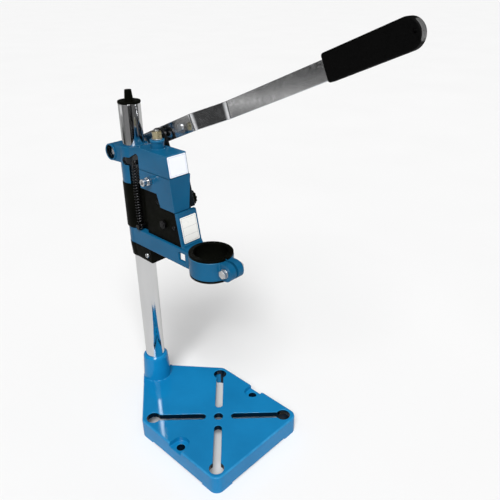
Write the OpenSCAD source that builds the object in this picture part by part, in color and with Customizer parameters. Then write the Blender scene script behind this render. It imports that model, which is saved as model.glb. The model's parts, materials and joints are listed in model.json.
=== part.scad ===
// Bench drill stand: base casting, chromed column, clamped head, lever and spring-returned drill carriage.
// Origin: drilling axis on the bench. The column stands at +Y, the lever is on the +X side.

/* [Base] */
// Side of the square work table
base_side = 161; // [155:1:180]
// Height of the table above the bench
base_h = 28; // [24:1:36]
// Thickness of the table top
table_t = 8; // [4:0.5:9]
// Thickness of the skirt
skirt_t = 5; // [3:0.5:7]
// Radius of the table corners
corner_r = 12; // [9:1:16]
// Height of the corner feet below the skirt
foot_step = 3; // [1:0.5:5]
// Length of a corner foot along the skirt
foot_len = 28; // [20:1:40]
// Distance of the four clamp holes from the table's edges
clamp_hole_in = 15; // [13:0.5:18]
// Bore of the four clamp holes
clamp_hole_d = 19.5; // [16:0.5:20]
// Width of the clamp slots
slot_w = 10.5; // [8:0.5:12]
// Start of the clamp slots, from the drilling axis
slot_start = 18; // [16:1:30]
// Bore of the centre hole
centre_hole_d = 13; // [8:0.5:16]
// Bore of the bench bolt holes
bench_hole_d = 11.5; // [8:0.5:13]
// Distance of the bench bolt holes from the table's edge
bench_hole_in = 10; // [10:0.5:16]
// Radius of the bench bolt pockets
bench_pocket_r = 12; // [10:0.5:13]
// Depth of the bench bolt pockets
bench_pocket_depth = 7; // [4:0.5:10]
// Height of the column boss above the table
boss_h = 41; // [36:1:56]
// Diameter of the column boss at its rim
boss_rim_d = 37; // [35:0.5:42]
// Diameter of the column boss at its foot
boss_foot_d = 42; // [40:0.5:48]

/* [Column] */
// Distance from the drilling axis to the column
reach = 140; // [136:1:160]
// Outer diameter of the column
column_d = 28; // [26:0.5:30]
// Wall of the column tube
column_wall = 2; // [1:0.25:3]
// Height of the top of the column above the bench
column_top_z = 452; // [446:1:500]
// Thickness of the floor under the column
socket_floor = 8; // [5:0.5:12]
// Thickness of the end cap's rim
cap_rim_t = 3; // [2:0.5:5]
// Height of the pull stub on the end cap
cap_stub_h = 13; // [8:1:18]
// Diameter of the pull stub at its foot
cap_stub_d = 11.2; // [8:0.2:14]

/* [Head] */
// Height of the underside of the head's sleeve
head_z = 352; // [348:1:360]
// Height of the head above that underside
head_h = 52; // [50:1:60]
// Width of the hood
hood_w = 33; // [33:0.5:36]
// Wall of the hood
hood_wall = 2.5; // [2:0.25:2.5]
// Thickness of the hood's front wall
hood_front_t = 3.5; // [2.5:0.25:4.5]
// Drop of the hood's front part below the sleeve
hood_drop = 17; // [12:1:18]
// Distance from the column to the hood's front at the top
hood_front_top = 86; // [84:0.5:90]
// Distance from the column to the hood's front at the bottom
hood_front_low = 95.5; // [94:0.5:98]
// Outer diameter of the sleeves on the column
sleeve_d = 37; // [36:0.5:39]
// Distance from the column to the lever pivot
pivot_back = 26.7; // [26:0.1:29]
// Height of the lever pivot above the head's underside
pivot_up = 35.6; // [34:0.2:38]
// Diameter of the pivot barrel
barrel_d = 22; // [20:0.5:23]
// Length of the pivot barrel
barrel_len = 38; // [36:1:40]
// Diameter of the pivot pin
pivot_d = 10; // [8:0.5:12]
// Distance from the column to the guide rod
rod_front = 51; // [50:0.5:53]
// Diameter of the guide rod
rod_d = 10; // [8:0.5:11]
// Diameter of the boss on top of the hood
top_boss_d = 16.5; // [15:0.5:18]
// Height of the boss on top of the hood
top_boss_h = 11.5; // [10:0.5:16]

/* [Lever] */
// Angle of the lever above the horizontal, at rest
lever_angle = 23.5; // [20:0.5:28]
// Length of the lever from its pivot
lever_len = 417; // [400:1:460]
// Height of the lever's flat bar
lever_h = 21; // [16:0.5:22]
// Thickness of the lever's flat bar
lever_t = 4; // [3:0.5:5]
// Diameter of the lever's eye
eye_d = 24; // [22:0.5:25]
// Distance of the lever from the middle plane, at the pivot
lever_x = 28; // [28:0.5:31]
// Sideways set of the lever's two bends
lever_set = 26; // [20:1:30]
// Distance of the first bend from the pivot
bend_start = 123; // [120:1:140]
// Length of the set-over stretch along the lever
bend_run = 35; // [20:1:40]
// Distance of the drive pin from the pivot
crank_r = 60; // [58:0.5:62]
// Diameter of the drive pin
drive_pin_d = 8; // [6:0.5:9]
// Distance of the rivet from the pivot
rivet_r = 98; // [92:1:110]
// Length of the grip
grip_len = 106; // [95:1:130]
// Height of the grip
grip_h = 29; // [27:0.5:32]
// Thickness of the grip
grip_t = 11; // [9:0.5:14]

/* [Carriage] */
// Height of the underside of the arm
arm_z = 266; // [262:1:268]
// Height of the arm
arm_h = 23; // [20:1:25]
// Width of the arm
arm_w = 33.5; // [32:0.5:34]
// Wall of the hollow arm
arm_wall = 4; // [3:0.25:5]
// Length of the window in the arm
window_len = 12.5; // [8:0.5:14]
// Height of the window in the arm
window_h = 11.5; // [8:0.5:12]
// Height of the carriage's front wall above the arm
front_wall_h = 45; // [38:1:45]
// Thickness of the carriage's front wall
front_wall_t = 5; // [4:0.5:6]
// Width of the carriage's front wall
front_wall_w = 30; // [28:0.5:32]
// Thickness of the side plates
plate_t = 2; // [1.5:0.25:2]
// Width of the guide body between the side plates
guide_w = 23; // [22:0.5:23]
// Height of the black bush under the arm
lower_bush_h = 21; // [18:1:32]
// Reach of the black bush in front of the column
lower_bush_front = 40; // [34:1:42]
// Thickness of the drive plate
drive_plate_t = 3; // [2.5:0.25:3.5]
// Travel of the carriage
stroke = 55; // [40:1:56]

/* [Collar] */
// Bore of the collar's liner, the standard drill neck
neck_d = 43; // [38:0.5:43]
// Wall of the collar's liner
liner_t = 1.5; // [1:0.25:2]
// Outer diameter of the collar
collar_d = 55.8; // [54:0.2:60]
// Height of the collar's casting
collar_h = 24.5; // [22:0.5:28]
// Width of the slit in the collar
slit_w = 3; // [2:0.25:4]
// Diameter of the two clamp ears
ear_d = 22; // [18:0.5:24]
// Width across both clamp ears
ear_w = 21; // [18:0.5:26]
// Distance from the drilling axis to the clamp bolt
ear_front = 34.5; // [34:0.5:37]

/* [Spring] */
// Outer diameter of the return spring
spring_d = 8; // [6:0.25:8.5]
// Wire of the return spring
wire_d = 1.4; // [1:0.1:1.8]
// Number of turns of the return spring
spring_turns = 19; // [12:1:22]

/* [Fits] */
// Radial clearance of a running fit
run_gap = 0.06; // [0.03:0.01:0.09]
// Radial clearance of a fixed fit
seat_gap = 0.04; // [0.02:0.01:0.08]
// Gap between faces that pass each other
pass_gap = 0.5; // [0.4:0.05:0.6]

/* [Hidden] */
$fn = 64;
over = 1;

// Paint and metal colours
base_blue = [0.08, 0.52, 0.75];
head_blue = [0.16, 0.43, 0.60];
soft_black = [0.10, 0.10, 0.11];
steel = [0.72, 0.73, 0.75];
brass = [0.72, 0.64, 0.42];
chrome = [0.83, 0.84, 0.86];
paper = [0.93, 0.93, 0.92];

// Base levels and outline
column_r = column_d / 2;
boss_top_z = base_h + boss_h;
corner_at = base_side / 2 - corner_r;
clamp_hole_half = base_side / 2 - clamp_hole_in;
bench_hole_x = base_side / 2 - bench_hole_in;
lug_wall = 3;
boss_pad = 0.5;
boss_lip_h = 3;
boss_lip_in = 2.4;
boss_pad_r = boss_foot_d / 2 + boss_pad;
base_discs = [
  [-corner_at, -corner_at, corner_r], [corner_at, -corner_at, corner_r], [corner_at, corner_at, corner_r],
  [0, reach, boss_pad_r], [-corner_at, corner_at, corner_r]
];

// Fasteners: the bolts have hexagon heads and the screws round ones
bolt_d = 6;
bolt_r = bolt_d / 2;
bolt_flats = 10;
bolt_head_t = 4;
screw_d = 5;
screw_r = screw_d / 2;
round_head_d = 7;
round_head_t = 2.5;
small_head_d = 6;
small_head_t = 1.6;
set_screw_d = 8;
set_screw_flats = 4;
set_screw_len = 4;
set_screw_clear = 0.3;
set_screw_tip = 1.5;
base_screw_drop = 15;
base_screw_z = boss_top_z - base_screw_drop;

// Head levels and places
head_top = head_z + head_h;
sleeve_r = sleeve_d / 2;
hood_half = hood_w / 2;
hood_low_z = head_z - hood_drop;
front_top_y = reach - hood_front_top;
front_low_y = reach - hood_front_low;
front_lean = atan2(front_top_y - front_low_y, head_top - hood_low_z);
ledge_up = 24.5;
ledge_z = head_z + ledge_up;
ledge_step = 0.8;
hood_step_front = 61.5;
hood_step_y = reach - hood_step_front;
hood_step_run = 6;
cavity_half = hood_half - hood_wall;
hood_roof = 6;
cavity_top = head_top - hood_roof;
cavity_front = 31.5;
cavity_rear_y = reach - cavity_front;
sleeve_drop = 4;
sleeve_top = head_top - sleeve_drop;
pivot_y = reach + pivot_back;
pivot_z = head_z + pivot_up;
pivot_r = pivot_d / 2;
socket_wall = 2;
socket_r = barrel_d / 2 - socket_wall;
socket_depth = 8;
rod_y = reach - rod_front;
rod_r = rod_d / 2;
rod_low_up = 2;
rod_low_z = arm_z + rod_low_up;
rod_neck_d = 6;
rod_neck_len = 8;
rod_neck_z = head_top + top_boss_h - rod_neck_len;
rod_tube_wall = 4;
rod_tube_r = rod_r + rod_tube_wall;
rod_tube_up = 8;
rod_tube_low = head_z + rod_tube_up;
rod_screw_up = 14.5;
rod_screw_z = head_z + rod_screw_up;
rod_screw_boss_r = 6.4;
head_screw_up = 12;
head_screw_z = head_z + head_screw_up;
knob_front = 80;
knob_y = reach - knob_front;
knob_up = 5.5;
knob_z = hood_low_z + knob_up;
knob_boss_r = 5.5;
knob_boss_len = 3.2;
rib_out = 3;
rib_depth = 3;
rib_back = 3;
rib_in = 9.5;
knob_d = 19;

// Spring channel in the head's left side
channel_front = 29.5;
channel_front_y = reach - channel_front;
channel_back = 9;
channel_rear_y = reach - channel_back;
channel_floor_x = -11.5;
channel_drop = 9;
channel_top = head_top - channel_drop;
channel_r = 4;
channel_rear_drop = 7;
channel_nub_back = 1;
channel_nub_r = 5.2;
channel_nub_drop = 13.3;
channel_wall = 2;
spring_clear = 0.5;
spring_x = channel_floor_x - spring_d / 2 - spring_clear;
spring_front = 20;
spring_y = reach - spring_front;

// Lever: the flat bar lies between lever_x and lever_x + lever_t at its pivot
lever_mid_x = lever_x + lever_t / 2;
grip_bar_end = 10;
grip_hole_r = 2.2;
grip_up = 1.5;
lever_bush_wall = 2;

// Carriage levels and places
arm_top = arm_z + arm_h;
guide_half = guide_w / 2;
plate_out = guide_half + plate_t;
guide_top = head_z - pass_gap;
guide_rear = 33;
guide_rear_y = reach - guide_rear;
guide_front = 78;
guide_front_y = reach - guide_front;
guide_step = 2;
guide_web_half = 9;
front_wall_top = arm_top + front_wall_h;
wall_low_front = 107.4;
wall_low_y = reach - wall_low_front;
wall_top_front = 98.5;
wall_top_y = reach - wall_top_front;
wall_foot_r = 5;
screw_boss_up = 24;
screw_boss_z = arm_top + screw_boss_up;
screw_boss_front = 89;
screw_boss_y = reach - screw_boss_front;
screw_boss_half = 9;
screw_boss_rear = 6;
plate_up = 5;
plate_top = head_z + plate_up;
plate_step_front = 84;
plate_step_y = reach - plate_step_front;
plate_screw_drop = 12;
plate_screw_z = head_z - plate_screw_drop;
plate_screw_front = 60;
plate_screw_y = reach - plate_screw_front;
plate_screw_len = 9;
plate_bore_len = 9.5;
collar_top = arm_z + collar_h;
liner_r = neck_d / 2 + liner_t;
liner_flange_t = 3;
liner_flange_top = collar_top + liner_flange_t;
liner_rim_in = 0.3;
liner_rim_r = collar_d / 2 - liner_rim_in;
liner_drop = 3;
ear_up = 13.5;
ear_z = arm_z + ear_up;
bush_screw_in = 9;
bush_screw_y = reach - lower_bush_front + bush_screw_in;
bush_screw_z = arm_z - lower_bush_h / 2;
pocket_wall = 2;
pocket_front_y = collar_d / 2 + pocket_wall;
pocket_rear = 42;
pocket_rear_y = reach - pocket_rear;
arm_roof = 5;
rod_bush_wall = 2.5;
rod_bush_r = rod_r + rod_bush_wall;
rod_bush_up = 11;
rod_bush_low = arm_top + rod_bush_up;
rod_bore_gap = 1.5;
drive_clear = 5;
drive_x = lever_x - drive_clear - drive_plate_t;
drive_bolt_front = 69;
drive_bolt_y = reach - drive_bolt_front;
drive_bolt_2_front = 39;
drive_bolt_2_y = reach - drive_bolt_2_front;
drive_bolt_up = 23;
drive_bolt_z = arm_top + drive_bolt_up;
drive_pad_r = 8;
spring_screw_up = 6;
spring_screw_z = arm_top + spring_screw_up;
hook_drop = 13;
hook_z = channel_top - hook_drop;

// Drive slot: the pin swings from lever_angle down to crank_low while the carriage goes down by stroke,
// and the slot's play and small drop take up the pin's arc
crank_low = -asin(stroke / crank_r - sin(lever_angle));
crank_z = pivot_z + crank_r * sin(lever_angle);
crank_far_y = pivot_y - crank_r;
crank_near_y = pivot_y - crank_r * min(cos(lever_angle), cos(crank_low));
slot_play = 0.8;
slot_end_gap = 1;
slot_drop = 0.27;
drive_slot_z = crank_z - slot_drop;
drive_slot_r = drive_pin_d / 2 + slot_play;

// Outline helpers
function outward(a, b) =
  let(d = [b[0] - a[0], b[1] - a[1]], len = norm(d), s = (a[2] - b[2]) / len, c = sqrt(1 - s * s))
  [d[1] / len * c + d[0] / len * s, -d[0] / len * c + d[1] / len * s];
function tangents(discs) =
  let(n = len(discs))
  [for (i = [0 : n - 1], k = [0, 1])
    let(a = discs[i], b = discs[k == 0 ? (i + n - 1) % n : (i + 1) % n],
        u = k == 0 ? outward(b, a) : outward(a, b))
    [a[0] + a[2] * u[0], a[1] + a[2] * u[1]]];
function shrink(discs, t) = [for (d = discs) [d[0], d[1], d[2] - t]];
function unit(v) = v / norm(v);
function left_of(v) = [-v[1], v[0]];
function miter(p, i) =
  let(n = len(p), a = i == 0 ? undef : left_of(unit(p[i] - p[i - 1])),
      b = i == n - 1 ? undef : left_of(unit(p[i + 1] - p[i])),
      m = i == 0 ? b : i == n - 1 ? a : unit(a + b))
  i == 0 || i == n - 1 ? m : m / (m * a);
function ribbon(p, t) = concat(
  [for (i = [0 : len(p) - 1]) p[i] + miter(p, i) * t / 2],
  [for (i = [len(p) - 1 : -1 : 0]) p[i] - miter(p, i) * t / 2]);

// Round outline through discs given counter-clockwise as [x, y, radius]
module disc_outline(discs) {
  polygon(tangents(discs));
  for (d = discs) translate([d[0], d[1]]) circle(d[2]);
}
// Extrudes an outline drawn in Y and Z from x0 to x1
module across(x0, x1) {
  translate([x0, 0, 0]) rotate([90, 0, 90]) linear_extrude(x1 - x0) children();
}
// Cylinder along X from x0 to x1
module x_rod(r, x0, x1, y, z, fn = 64) {
  translate([x0, y, z]) rotate([0, 90, 0]) cylinder(r = r, h = x1 - x0, $fn = fn);
}
// Cylinder along Y from y0 to y1
module y_rod(r, y0, y1, x, z, fn = 64) {
  translate([x, y1, z]) rotate([90, 0, 0]) cylinder(r = r, h = y1 - y0, $fn = fn);
}
module z_rod(r, z0, z1, x, y, fn = 64) {
  translate([x, y, z0]) cylinder(r = r, h = z1 - z0, $fn = fn);
}
module box(from, to) {
  translate(from) cube(to - from);
}
// Corner radius of a hexagon across flats
function hex_r(flats) = flats / sqrt(3);
module on_column() {
  translate([0, reach, 0]) children();
}
module lever_place() {
  translate([0, pivot_y, pivot_z]) rotate([-lever_angle, 0, 0]) children();
}

// Base casting
module slot_cut(turn) {
  rotate(turn) {
    translate([0, 0, -over]) linear_extrude(base_h + 2 * over)
      disc_outline([[slot_start + slot_w / 2, 0, slot_w / 2], [clamp_hole_half * sqrt(2), 0, slot_w / 2]]);
    translate([clamp_hole_half * sqrt(2), 0, -over]) cylinder(d = clamp_hole_d, h = base_h + 2 * over);
  }
}
// Lug around a bench bolt hole: it stands on the bench behind the skirt
module bench_lug(side) {
  intersection() {
    z_rod(bench_pocket_r + lug_wall, 0, base_h, side * bench_hole_x, 0);
    linear_extrude(base_h) disc_outline(shrink(base_discs, skirt_t - over));
  }
}
module bench_pocket(side) {
  floor_z = base_h - bench_pocket_depth;
  out_x = base_side / 2 + over;
  z_rod(bench_pocket_r, floor_z, base_h + over, side * bench_hole_x, 0);
  translate([side > 0 ? bench_hole_x : -out_x, -bench_pocket_r, floor_z])
    cube([out_x - bench_hole_x, 2 * bench_pocket_r, bench_pocket_depth + over]);
  z_rod(bench_hole_d / 2, -over, base_h + over, side * bench_hole_x, 0);
}
module feet() {
  half = base_side / 2;
  intersection() {
    linear_extrude(foot_step + over) difference() {
      disc_outline(base_discs);
      disc_outline(shrink(base_discs, skirt_t));
    }
    for (x = [-1, 1], y = [-1, 1])
      translate([x * (half - foot_len / 2), y * (half - foot_len / 2), 0])
        cube([foot_len, foot_len, 4 * foot_step], center = true);
  }
  on_column() cylinder(d = boss_foot_d, h = foot_step + over);
}
module base_plate() {
  color(base_blue) difference() {
    union() {
      difference() {
        translate([0, 0, foot_step]) linear_extrude(base_h - foot_step) disc_outline(base_discs);
        translate([0, 0, -over]) linear_extrude(base_h - table_t + over)
          disc_outline(shrink(base_discs, skirt_t));
      }
      feet();
      bench_lug(-1);
      bench_lug(1);
      on_column() {
        cylinder(d = boss_foot_d, h = base_h);
        translate([0, 0, base_h]) cylinder(d1 = boss_foot_d, d2 = boss_rim_d, h = boss_h - boss_lip_h);
        translate([0, 0, boss_top_z - boss_lip_h])
          cylinder(d1 = boss_rim_d, d2 = boss_rim_d - 2 * boss_lip_in, h = boss_lip_h);
      }
    }
    for (turn = [45, 135, 225, 315]) slot_cut(turn);
    z_rod(centre_hole_d / 2, -over, base_h + over, 0, 0);
    bench_pocket(-1);
    bench_pocket(1);
    on_column() translate([0, 0, socket_floor]) cylinder(r = column_r + run_gap, h = boss_top_z);
    y_rod(set_screw_d / 2 + seat_gap, reach, reach + boss_foot_d, 0, base_screw_z);
  }
}
// Headless socket screw along Y behind the column, its tip just clear of it
module set_screw(z) {
  tip_y = reach + column_r + set_screw_clear;
  color(steel) difference() {
    y_rod(set_screw_d / 2, tip_y, tip_y + set_screw_len, 0, z);
    y_rod(hex_r(set_screw_flats), tip_y + set_screw_tip, tip_y + set_screw_len + over, 0, z, 6);
  }
}
module column_set_screw() {
  set_screw(base_screw_z);
}

// Column
module column_tube() {
  color(chrome) on_column() difference() {
    z_rod(column_r, socket_floor, column_top_z, 0, 0);
    z_rod(column_r - column_wall, socket_floor - over, column_top_z + over, 0, 0);
  }
}
cap_plug_len = 12;
cap_overhang = 0.5;
cap_stub_taper = 0.76;
module column_cap() {
  color(soft_black) on_column() {
    z_rod(column_r + cap_overhang, column_top_z, column_top_z + cap_rim_t, 0, 0);
    z_rod(column_r - column_wall - seat_gap, column_top_z - cap_plug_len, column_top_z + over, 0, 0);
    translate([0, 0, column_top_z + cap_rim_t])
      cylinder(d1 = cap_stub_d, d2 = cap_stub_d * cap_stub_taper, h = cap_stub_h);
  }
}

// Head casting: sleeve, pivot barrel and hood; its top rises between the sleeve and the hood
rise_back = 12;
rise_front = 28;
module hood_outline() {
  polygon([
    [front_low_y, hood_low_z], [hood_step_y - hood_step_run, hood_low_z],
    [hood_step_y, head_z], [reach, head_z],
    [reach, sleeve_top], [reach - rise_back, sleeve_top],
    [reach - rise_front, head_top], [front_top_y, head_top]
  ]);
}
module above_ledge() {
  translate([0, ledge_z]) square([reach, head_h]);
}
barrel_web_in = 1;
barrel_web_up = 26;
top_rim_out = 0.8;
top_rim_h = 3;
hook_bore_x = -3;
module head_body() {
  across(-hood_half, hood_half) difference() {
    hood_outline();
    above_ledge();
  }
  across(-hood_half + ledge_step, hood_half - ledge_step) intersection() {
    translate([ledge_step, 0]) hood_outline();
    translate([0, -over]) above_ledge();
  }
  on_column() z_rod(sleeve_r, head_z, sleeve_top, 0, 0);
  x_rod(barrel_d / 2, -barrel_len / 2, barrel_len / 2, pivot_y, pivot_z);
  across(-sleeve_r + barrel_web_in, sleeve_r - barrel_web_in)
    polygon([[reach, head_z + barrel_web_up], [pivot_y, pivot_z - barrel_d / 2],
             [pivot_y, pivot_z + barrel_d / 2], [reach, sleeve_top]]);
  z_rod(top_boss_d / 2, head_top - over, head_top + top_boss_h, 0, rod_y);
  z_rod(top_boss_d / 2 + top_rim_out, head_top + top_boss_h - top_rim_h, head_top + top_boss_h, 0, rod_y);
  x_rod(knob_boss_r, hood_half - over, hood_half + knob_boss_len, knob_y, knob_z);
}
// Places an outline drawn in X and Z on the hood's leaning front, between two depths behind it
module on_front(y0, y1) {
  translate([hood_half, front_low_y, hood_low_z]) rotate([-front_lean, 0, 0]) translate([0, y1, 0])
    rotate([90, 0, 0]) linear_extrude(y1 - y0) children();
}
// Set-back corner of the hood's front that widens down to the knob, with a rib behind it
rib_top = ledge_z - hood_low_z;
module corner_recess() {
  on_front(-over, rib_back)
    polygon([[-rib_in - rib_in * over / rib_top, -over], [rib_out + over, -over], [rib_out + over, rib_top],
             [0, rib_top]]);
}
module knob_rib() {
  on_front(rib_back, rib_back + rib_depth)
    polygon([[-rib_in - over, 0], [rib_out, 0], [0, rib_top], [-over, rib_top]]);
}
module hood_cavity() {
  low = hood_low_z - over;
  inner = front_low_y + hood_front_t;
  lean = tan(front_lean);
  across(-cavity_half, cavity_half) polygon([
    [inner - lean * over, low], [cavity_rear_y, low], [cavity_rear_y, cavity_top],
    [inner + lean * (cavity_top - hood_low_z), cavity_top]
  ]);
}
module spring_channel() {
  x0 = -sleeve_r - over;
  y0 = channel_front_y + channel_r;
  y1 = channel_rear_y - channel_r;
  low = head_z - channel_r - over;
  high = channel_top - channel_r;
  nub_z = channel_top - channel_nub_drop;
  nub_y = reach + channel_nub_back - channel_nub_r;
  difference() {
    across(x0, channel_floor_x) {
      disc_outline([[y0, low, channel_r], [y1, low, channel_r], [y1, high - channel_rear_drop, channel_r],
                    [y0, high, channel_r]]);
      disc_outline([[spring_y, nub_z, channel_nub_r], [nub_y, nub_z, channel_nub_r]]);
    }
    on_column() z_rod(column_r + channel_wall, head_z - 2 * over, head_top, 0, 0);
  }
}
module head_casting() {
  color(head_blue) difference() {
    union() {
      difference() {
        head_body();
        hood_cavity();
        corner_recess();
      }
      knob_rib();
      z_rod(rod_tube_r, rod_tube_low, cavity_top + over, 0, rod_y);
      x_rod(rod_screw_boss_r, -cavity_half - over, 0, rod_y, rod_screw_z);
    }
    on_column() z_rod(column_r + run_gap, head_z - over, head_top + over, 0, 0);
    x_rod(pivot_r + seat_gap, -barrel_len, barrel_len, pivot_y, pivot_z);
    x_rod(socket_r, -barrel_len, -barrel_len / 2 + socket_depth, pivot_y, pivot_z);
    spring_channel();
    x_rod(screw_r + seat_gap, channel_floor_x - over, hook_bore_x, spring_y, hook_z);
    z_rod(rod_r + seat_gap, rod_tube_low - over, rod_neck_z, 0, rod_y);
    z_rod(rod_neck_d / 2 + seat_gap, rod_neck_z - over, head_top + top_boss_h + over, 0, rod_y);
    x_rod(bolt_r + seat_gap, -hood_half - over, 0, rod_y, rod_screw_z);
    x_rod(bolt_r + run_gap, cavity_half - over, hood_half + knob_boss_len + over, knob_y, knob_z);
    y_rod(set_screw_d / 2 + seat_gap, reach, reach + sleeve_r + over, 0, head_screw_z);
  }
}
module head_set_screw() {
  set_screw(head_screw_z);
}

// Lever pivot: pin through the barrel, ring on the left, spacer, washer and nut on the right
ring_t = 1.5;
pivot_washer_t = 1.5;
pivot_nut_t = 8;
lever_side_gap = 0.3;
ring_wall = 2.2;
spacer_wall = 3;
pivot_washer_wall = 5;
pin_proud = 1;
pin_in = 4.2;
pivot_nut_flats = pivot_d * 1.7;
washer_x = lever_x + lever_t + lever_side_gap;
module lever_pivot_pin() {
  x1 = washer_x + pivot_washer_t + pivot_nut_t + pin_proud;
  color(steel) x_rod(pivot_r, -barrel_len / 2 + pin_in, x1, pivot_y, pivot_z);
}
module x_washer(r_in, r_out, x0, x1, y, z) {
  difference() {
    x_rod(r_out, x0, x1, y, z);
    x_rod(r_in, x0 - over, x1 + over, y, z);
  }
}
module x_nut(r_in, flats, x0, x1, y, z) {
  difference() {
    x_rod(hex_r(flats), x0, x1, y, z, 6);
    x_rod(r_in, x0 - over, x1 + over, y, z);
  }
}
module pivot_ring() {
  seat = -barrel_len / 2 + socket_depth;
  color(steel) x_washer(pivot_r + seat_gap, pivot_r + ring_wall, seat - ring_t, seat, pivot_y, pivot_z);
}
module pivot_spacer() {
  x1 = lever_x - lever_side_gap;
  color(steel) x_washer(pivot_r + seat_gap, pivot_r + spacer_wall, barrel_len / 2, x1, pivot_y, pivot_z);
}
module pivot_washer() {
  x1 = washer_x + pivot_washer_t;
  r_out = pivot_r + pivot_washer_wall;
  color(steel) x_washer(pivot_r + seat_gap, r_out, washer_x, x1, pivot_y, pivot_z);
}
module pivot_nut() {
  x0 = washer_x + pivot_washer_t;
  color(steel) x_nut(pivot_r + seat_gap, pivot_nut_flats, x0, x0 + pivot_nut_t, pivot_y, pivot_z);
}

// Guide rod under the top boss, with its nut and lock screw
rod_washer_t = 1.5;
rod_nut_t = 8.5;
rod_nut_flats = 11;
rod_washer_r = 6.6;
rod_proud = 2;
rod_nut_z = head_top + top_boss_h + rod_washer_t;
module guide_rod() {
  color(steel) {
    z_rod(rod_r, rod_low_z, rod_neck_z - seat_gap, 0, rod_y);
    z_rod(rod_neck_d / 2, rod_neck_z - over, rod_nut_z + rod_nut_t + rod_proud, 0, rod_y);
  }
}
module z_ring(r_in, r_out, z0, z1, x, y) {
  difference() {
    z_rod(r_out, z0, z1, x, y);
    z_rod(r_in, z0 - over, z1 + over, x, y);
  }
}
module rod_washer() {
  color(steel) z_ring(rod_neck_d / 2 + seat_gap, rod_washer_r, head_top + top_boss_h, rod_nut_z, 0, rod_y);
}
module rod_nut() {
  color(brass) difference() {
    z_rod(hex_r(rod_nut_flats), rod_nut_z, rod_nut_z + rod_nut_t, 0, rod_y, 6);
    z_rod(rod_neck_d / 2 + seat_gap, rod_nut_z - over, rod_nut_z + rod_nut_t + over, 0, rod_y);
  }
}
lock_nut_t = 4.5;
screw_stand = 7.5;
screw_head_r = 4.6;
screw_head_t = 4.5;
socket_flats = 5;
screw_tip_gap = 0.1;
module rod_lock_screw() {
  head_x = -hood_half - screw_stand;
  color(steel) difference() {
    union() {
      x_rod(bolt_r, head_x - over, -rod_r - screw_tip_gap, rod_y, rod_screw_z);
      x_rod(screw_head_r, head_x - screw_head_t, head_x, rod_y, rod_screw_z);
    }
    x_rod(hex_r(socket_flats), head_x - screw_head_t - over, head_x - over, rod_y, rod_screw_z, 6);
  }
}
module rod_lock_nut() {
  color(steel)
    x_nut(bolt_r + seat_gap, bolt_flats, -hood_half - lock_nut_t, -hood_half, rod_y, rod_screw_z);
}

// Knob that locks the carriage: its stud runs in the hood's right wall and stops short of the side plate
knob_x0 = hood_half + knob_boss_len + pass_gap;
knob_clear = 2.2;
knob_x1 = lever_x - knob_clear;
grip_notches = 12;
notch_r = 1.6;
notch_out = 0.6;
module lock_knob() {
  color(soft_black) difference() {
    x_rod(knob_d / 2, knob_x0, knob_x1, knob_y, knob_z);
    x_rod(bolt_r + seat_gap, knob_x0 - over, knob_x1 + over, knob_y, knob_z);
    for (i = [0 : grip_notches - 1])
      translate([0, knob_y, knob_z]) rotate([i * 360 / grip_notches, 0, 0])
        x_rod(notch_r, knob_x0 - over, knob_x1 + over, knob_d / 2 + notch_out, 0, 24);
  }
}
module lock_stud() {
  color(steel) x_rod(bolt_r, plate_out + pass_gap, lever_x - pass_gap, knob_y, knob_z);
}

// Return spring between the hook pin in the head and the screw in the carriage
hook_in = 0.5;
hook_end_gap = 0.5;
spring_bore_x = -1.5;
spring_screw_head_r = 3.75;
module spring_hook_pin() {
  color(steel) x_rod(screw_r, -sleeve_r + hook_in, hook_bore_x - hook_end_gap, spring_y, hook_z);
}
module spring_screw() {
  color(steel) {
    x_rod(screw_r, -sleeve_r, spring_bore_x - hook_end_gap, spring_y, spring_screw_z);
    x_rod(spring_screw_head_r, -sleeve_r - round_head_t, -sleeve_r, spring_y, spring_screw_z);
  }
}
spring_seat = 0.3;
spring_low = spring_screw_z + screw_r + spring_seat;
spring_high = hook_z - screw_r - spring_seat;
spring_r = (spring_d - wire_d) / 2;
wire_r = wire_d / 2;
rings_per_turn = 8;
wire_sides = 6;
lead_share = 1.2;
lead = wire_d * lead_share;
spiral_rings = rings_per_turn;
coil_rings = rings_per_turn * spring_turns;
// Radius of the wire's path: it spirals out over one turn at each end
function coil_radius(i) = spring_r * min(1, i / spiral_rings, (coil_rings - i) / spiral_rings);
function coil_point(i) = [
  coil_radius(i) * cos(i * 360 / rings_per_turn), coil_radius(i) * sin(i * 360 / rings_per_turn),
  spring_low + lead + (spring_high - spring_low - 2 * lead) * i / coil_rings
];
spring_path = concat(
  [[0, 0, spring_low]], [for (i = [0 : coil_rings]) coil_point(i)], [[0, 0, spring_high]]);
function path_way(i) =
  i == 0 || i == len(spring_path) - 1 ? [0, 0, 1] : unit(spring_path[i + 1] - spring_path[i - 1]);
function across_way(w, a) = let(s = unit(cross(w, [cos(a), sin(a), 0]))) s;
function ring_side(i) = let(p = spring_path[i]) norm([p[0], p[1]]) < 0.01
  ? across_way(path_way(i), i == 0 || i == 1 ? 0 : coil_rings * 360 / rings_per_turn)
  : across_way(path_way(i), atan2(p[1], p[0]));
function wire_ring(i) =
  let(w = path_way(i), s = ring_side(i), t = cross(w, s))
  [for (k = [0 : wire_sides - 1])
    spring_path[i] + wire_r * (s * cos(k * 360 / wire_sides) + t * sin(k * 360 / wire_sides))];
wire_rings = len(spring_path);
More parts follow.
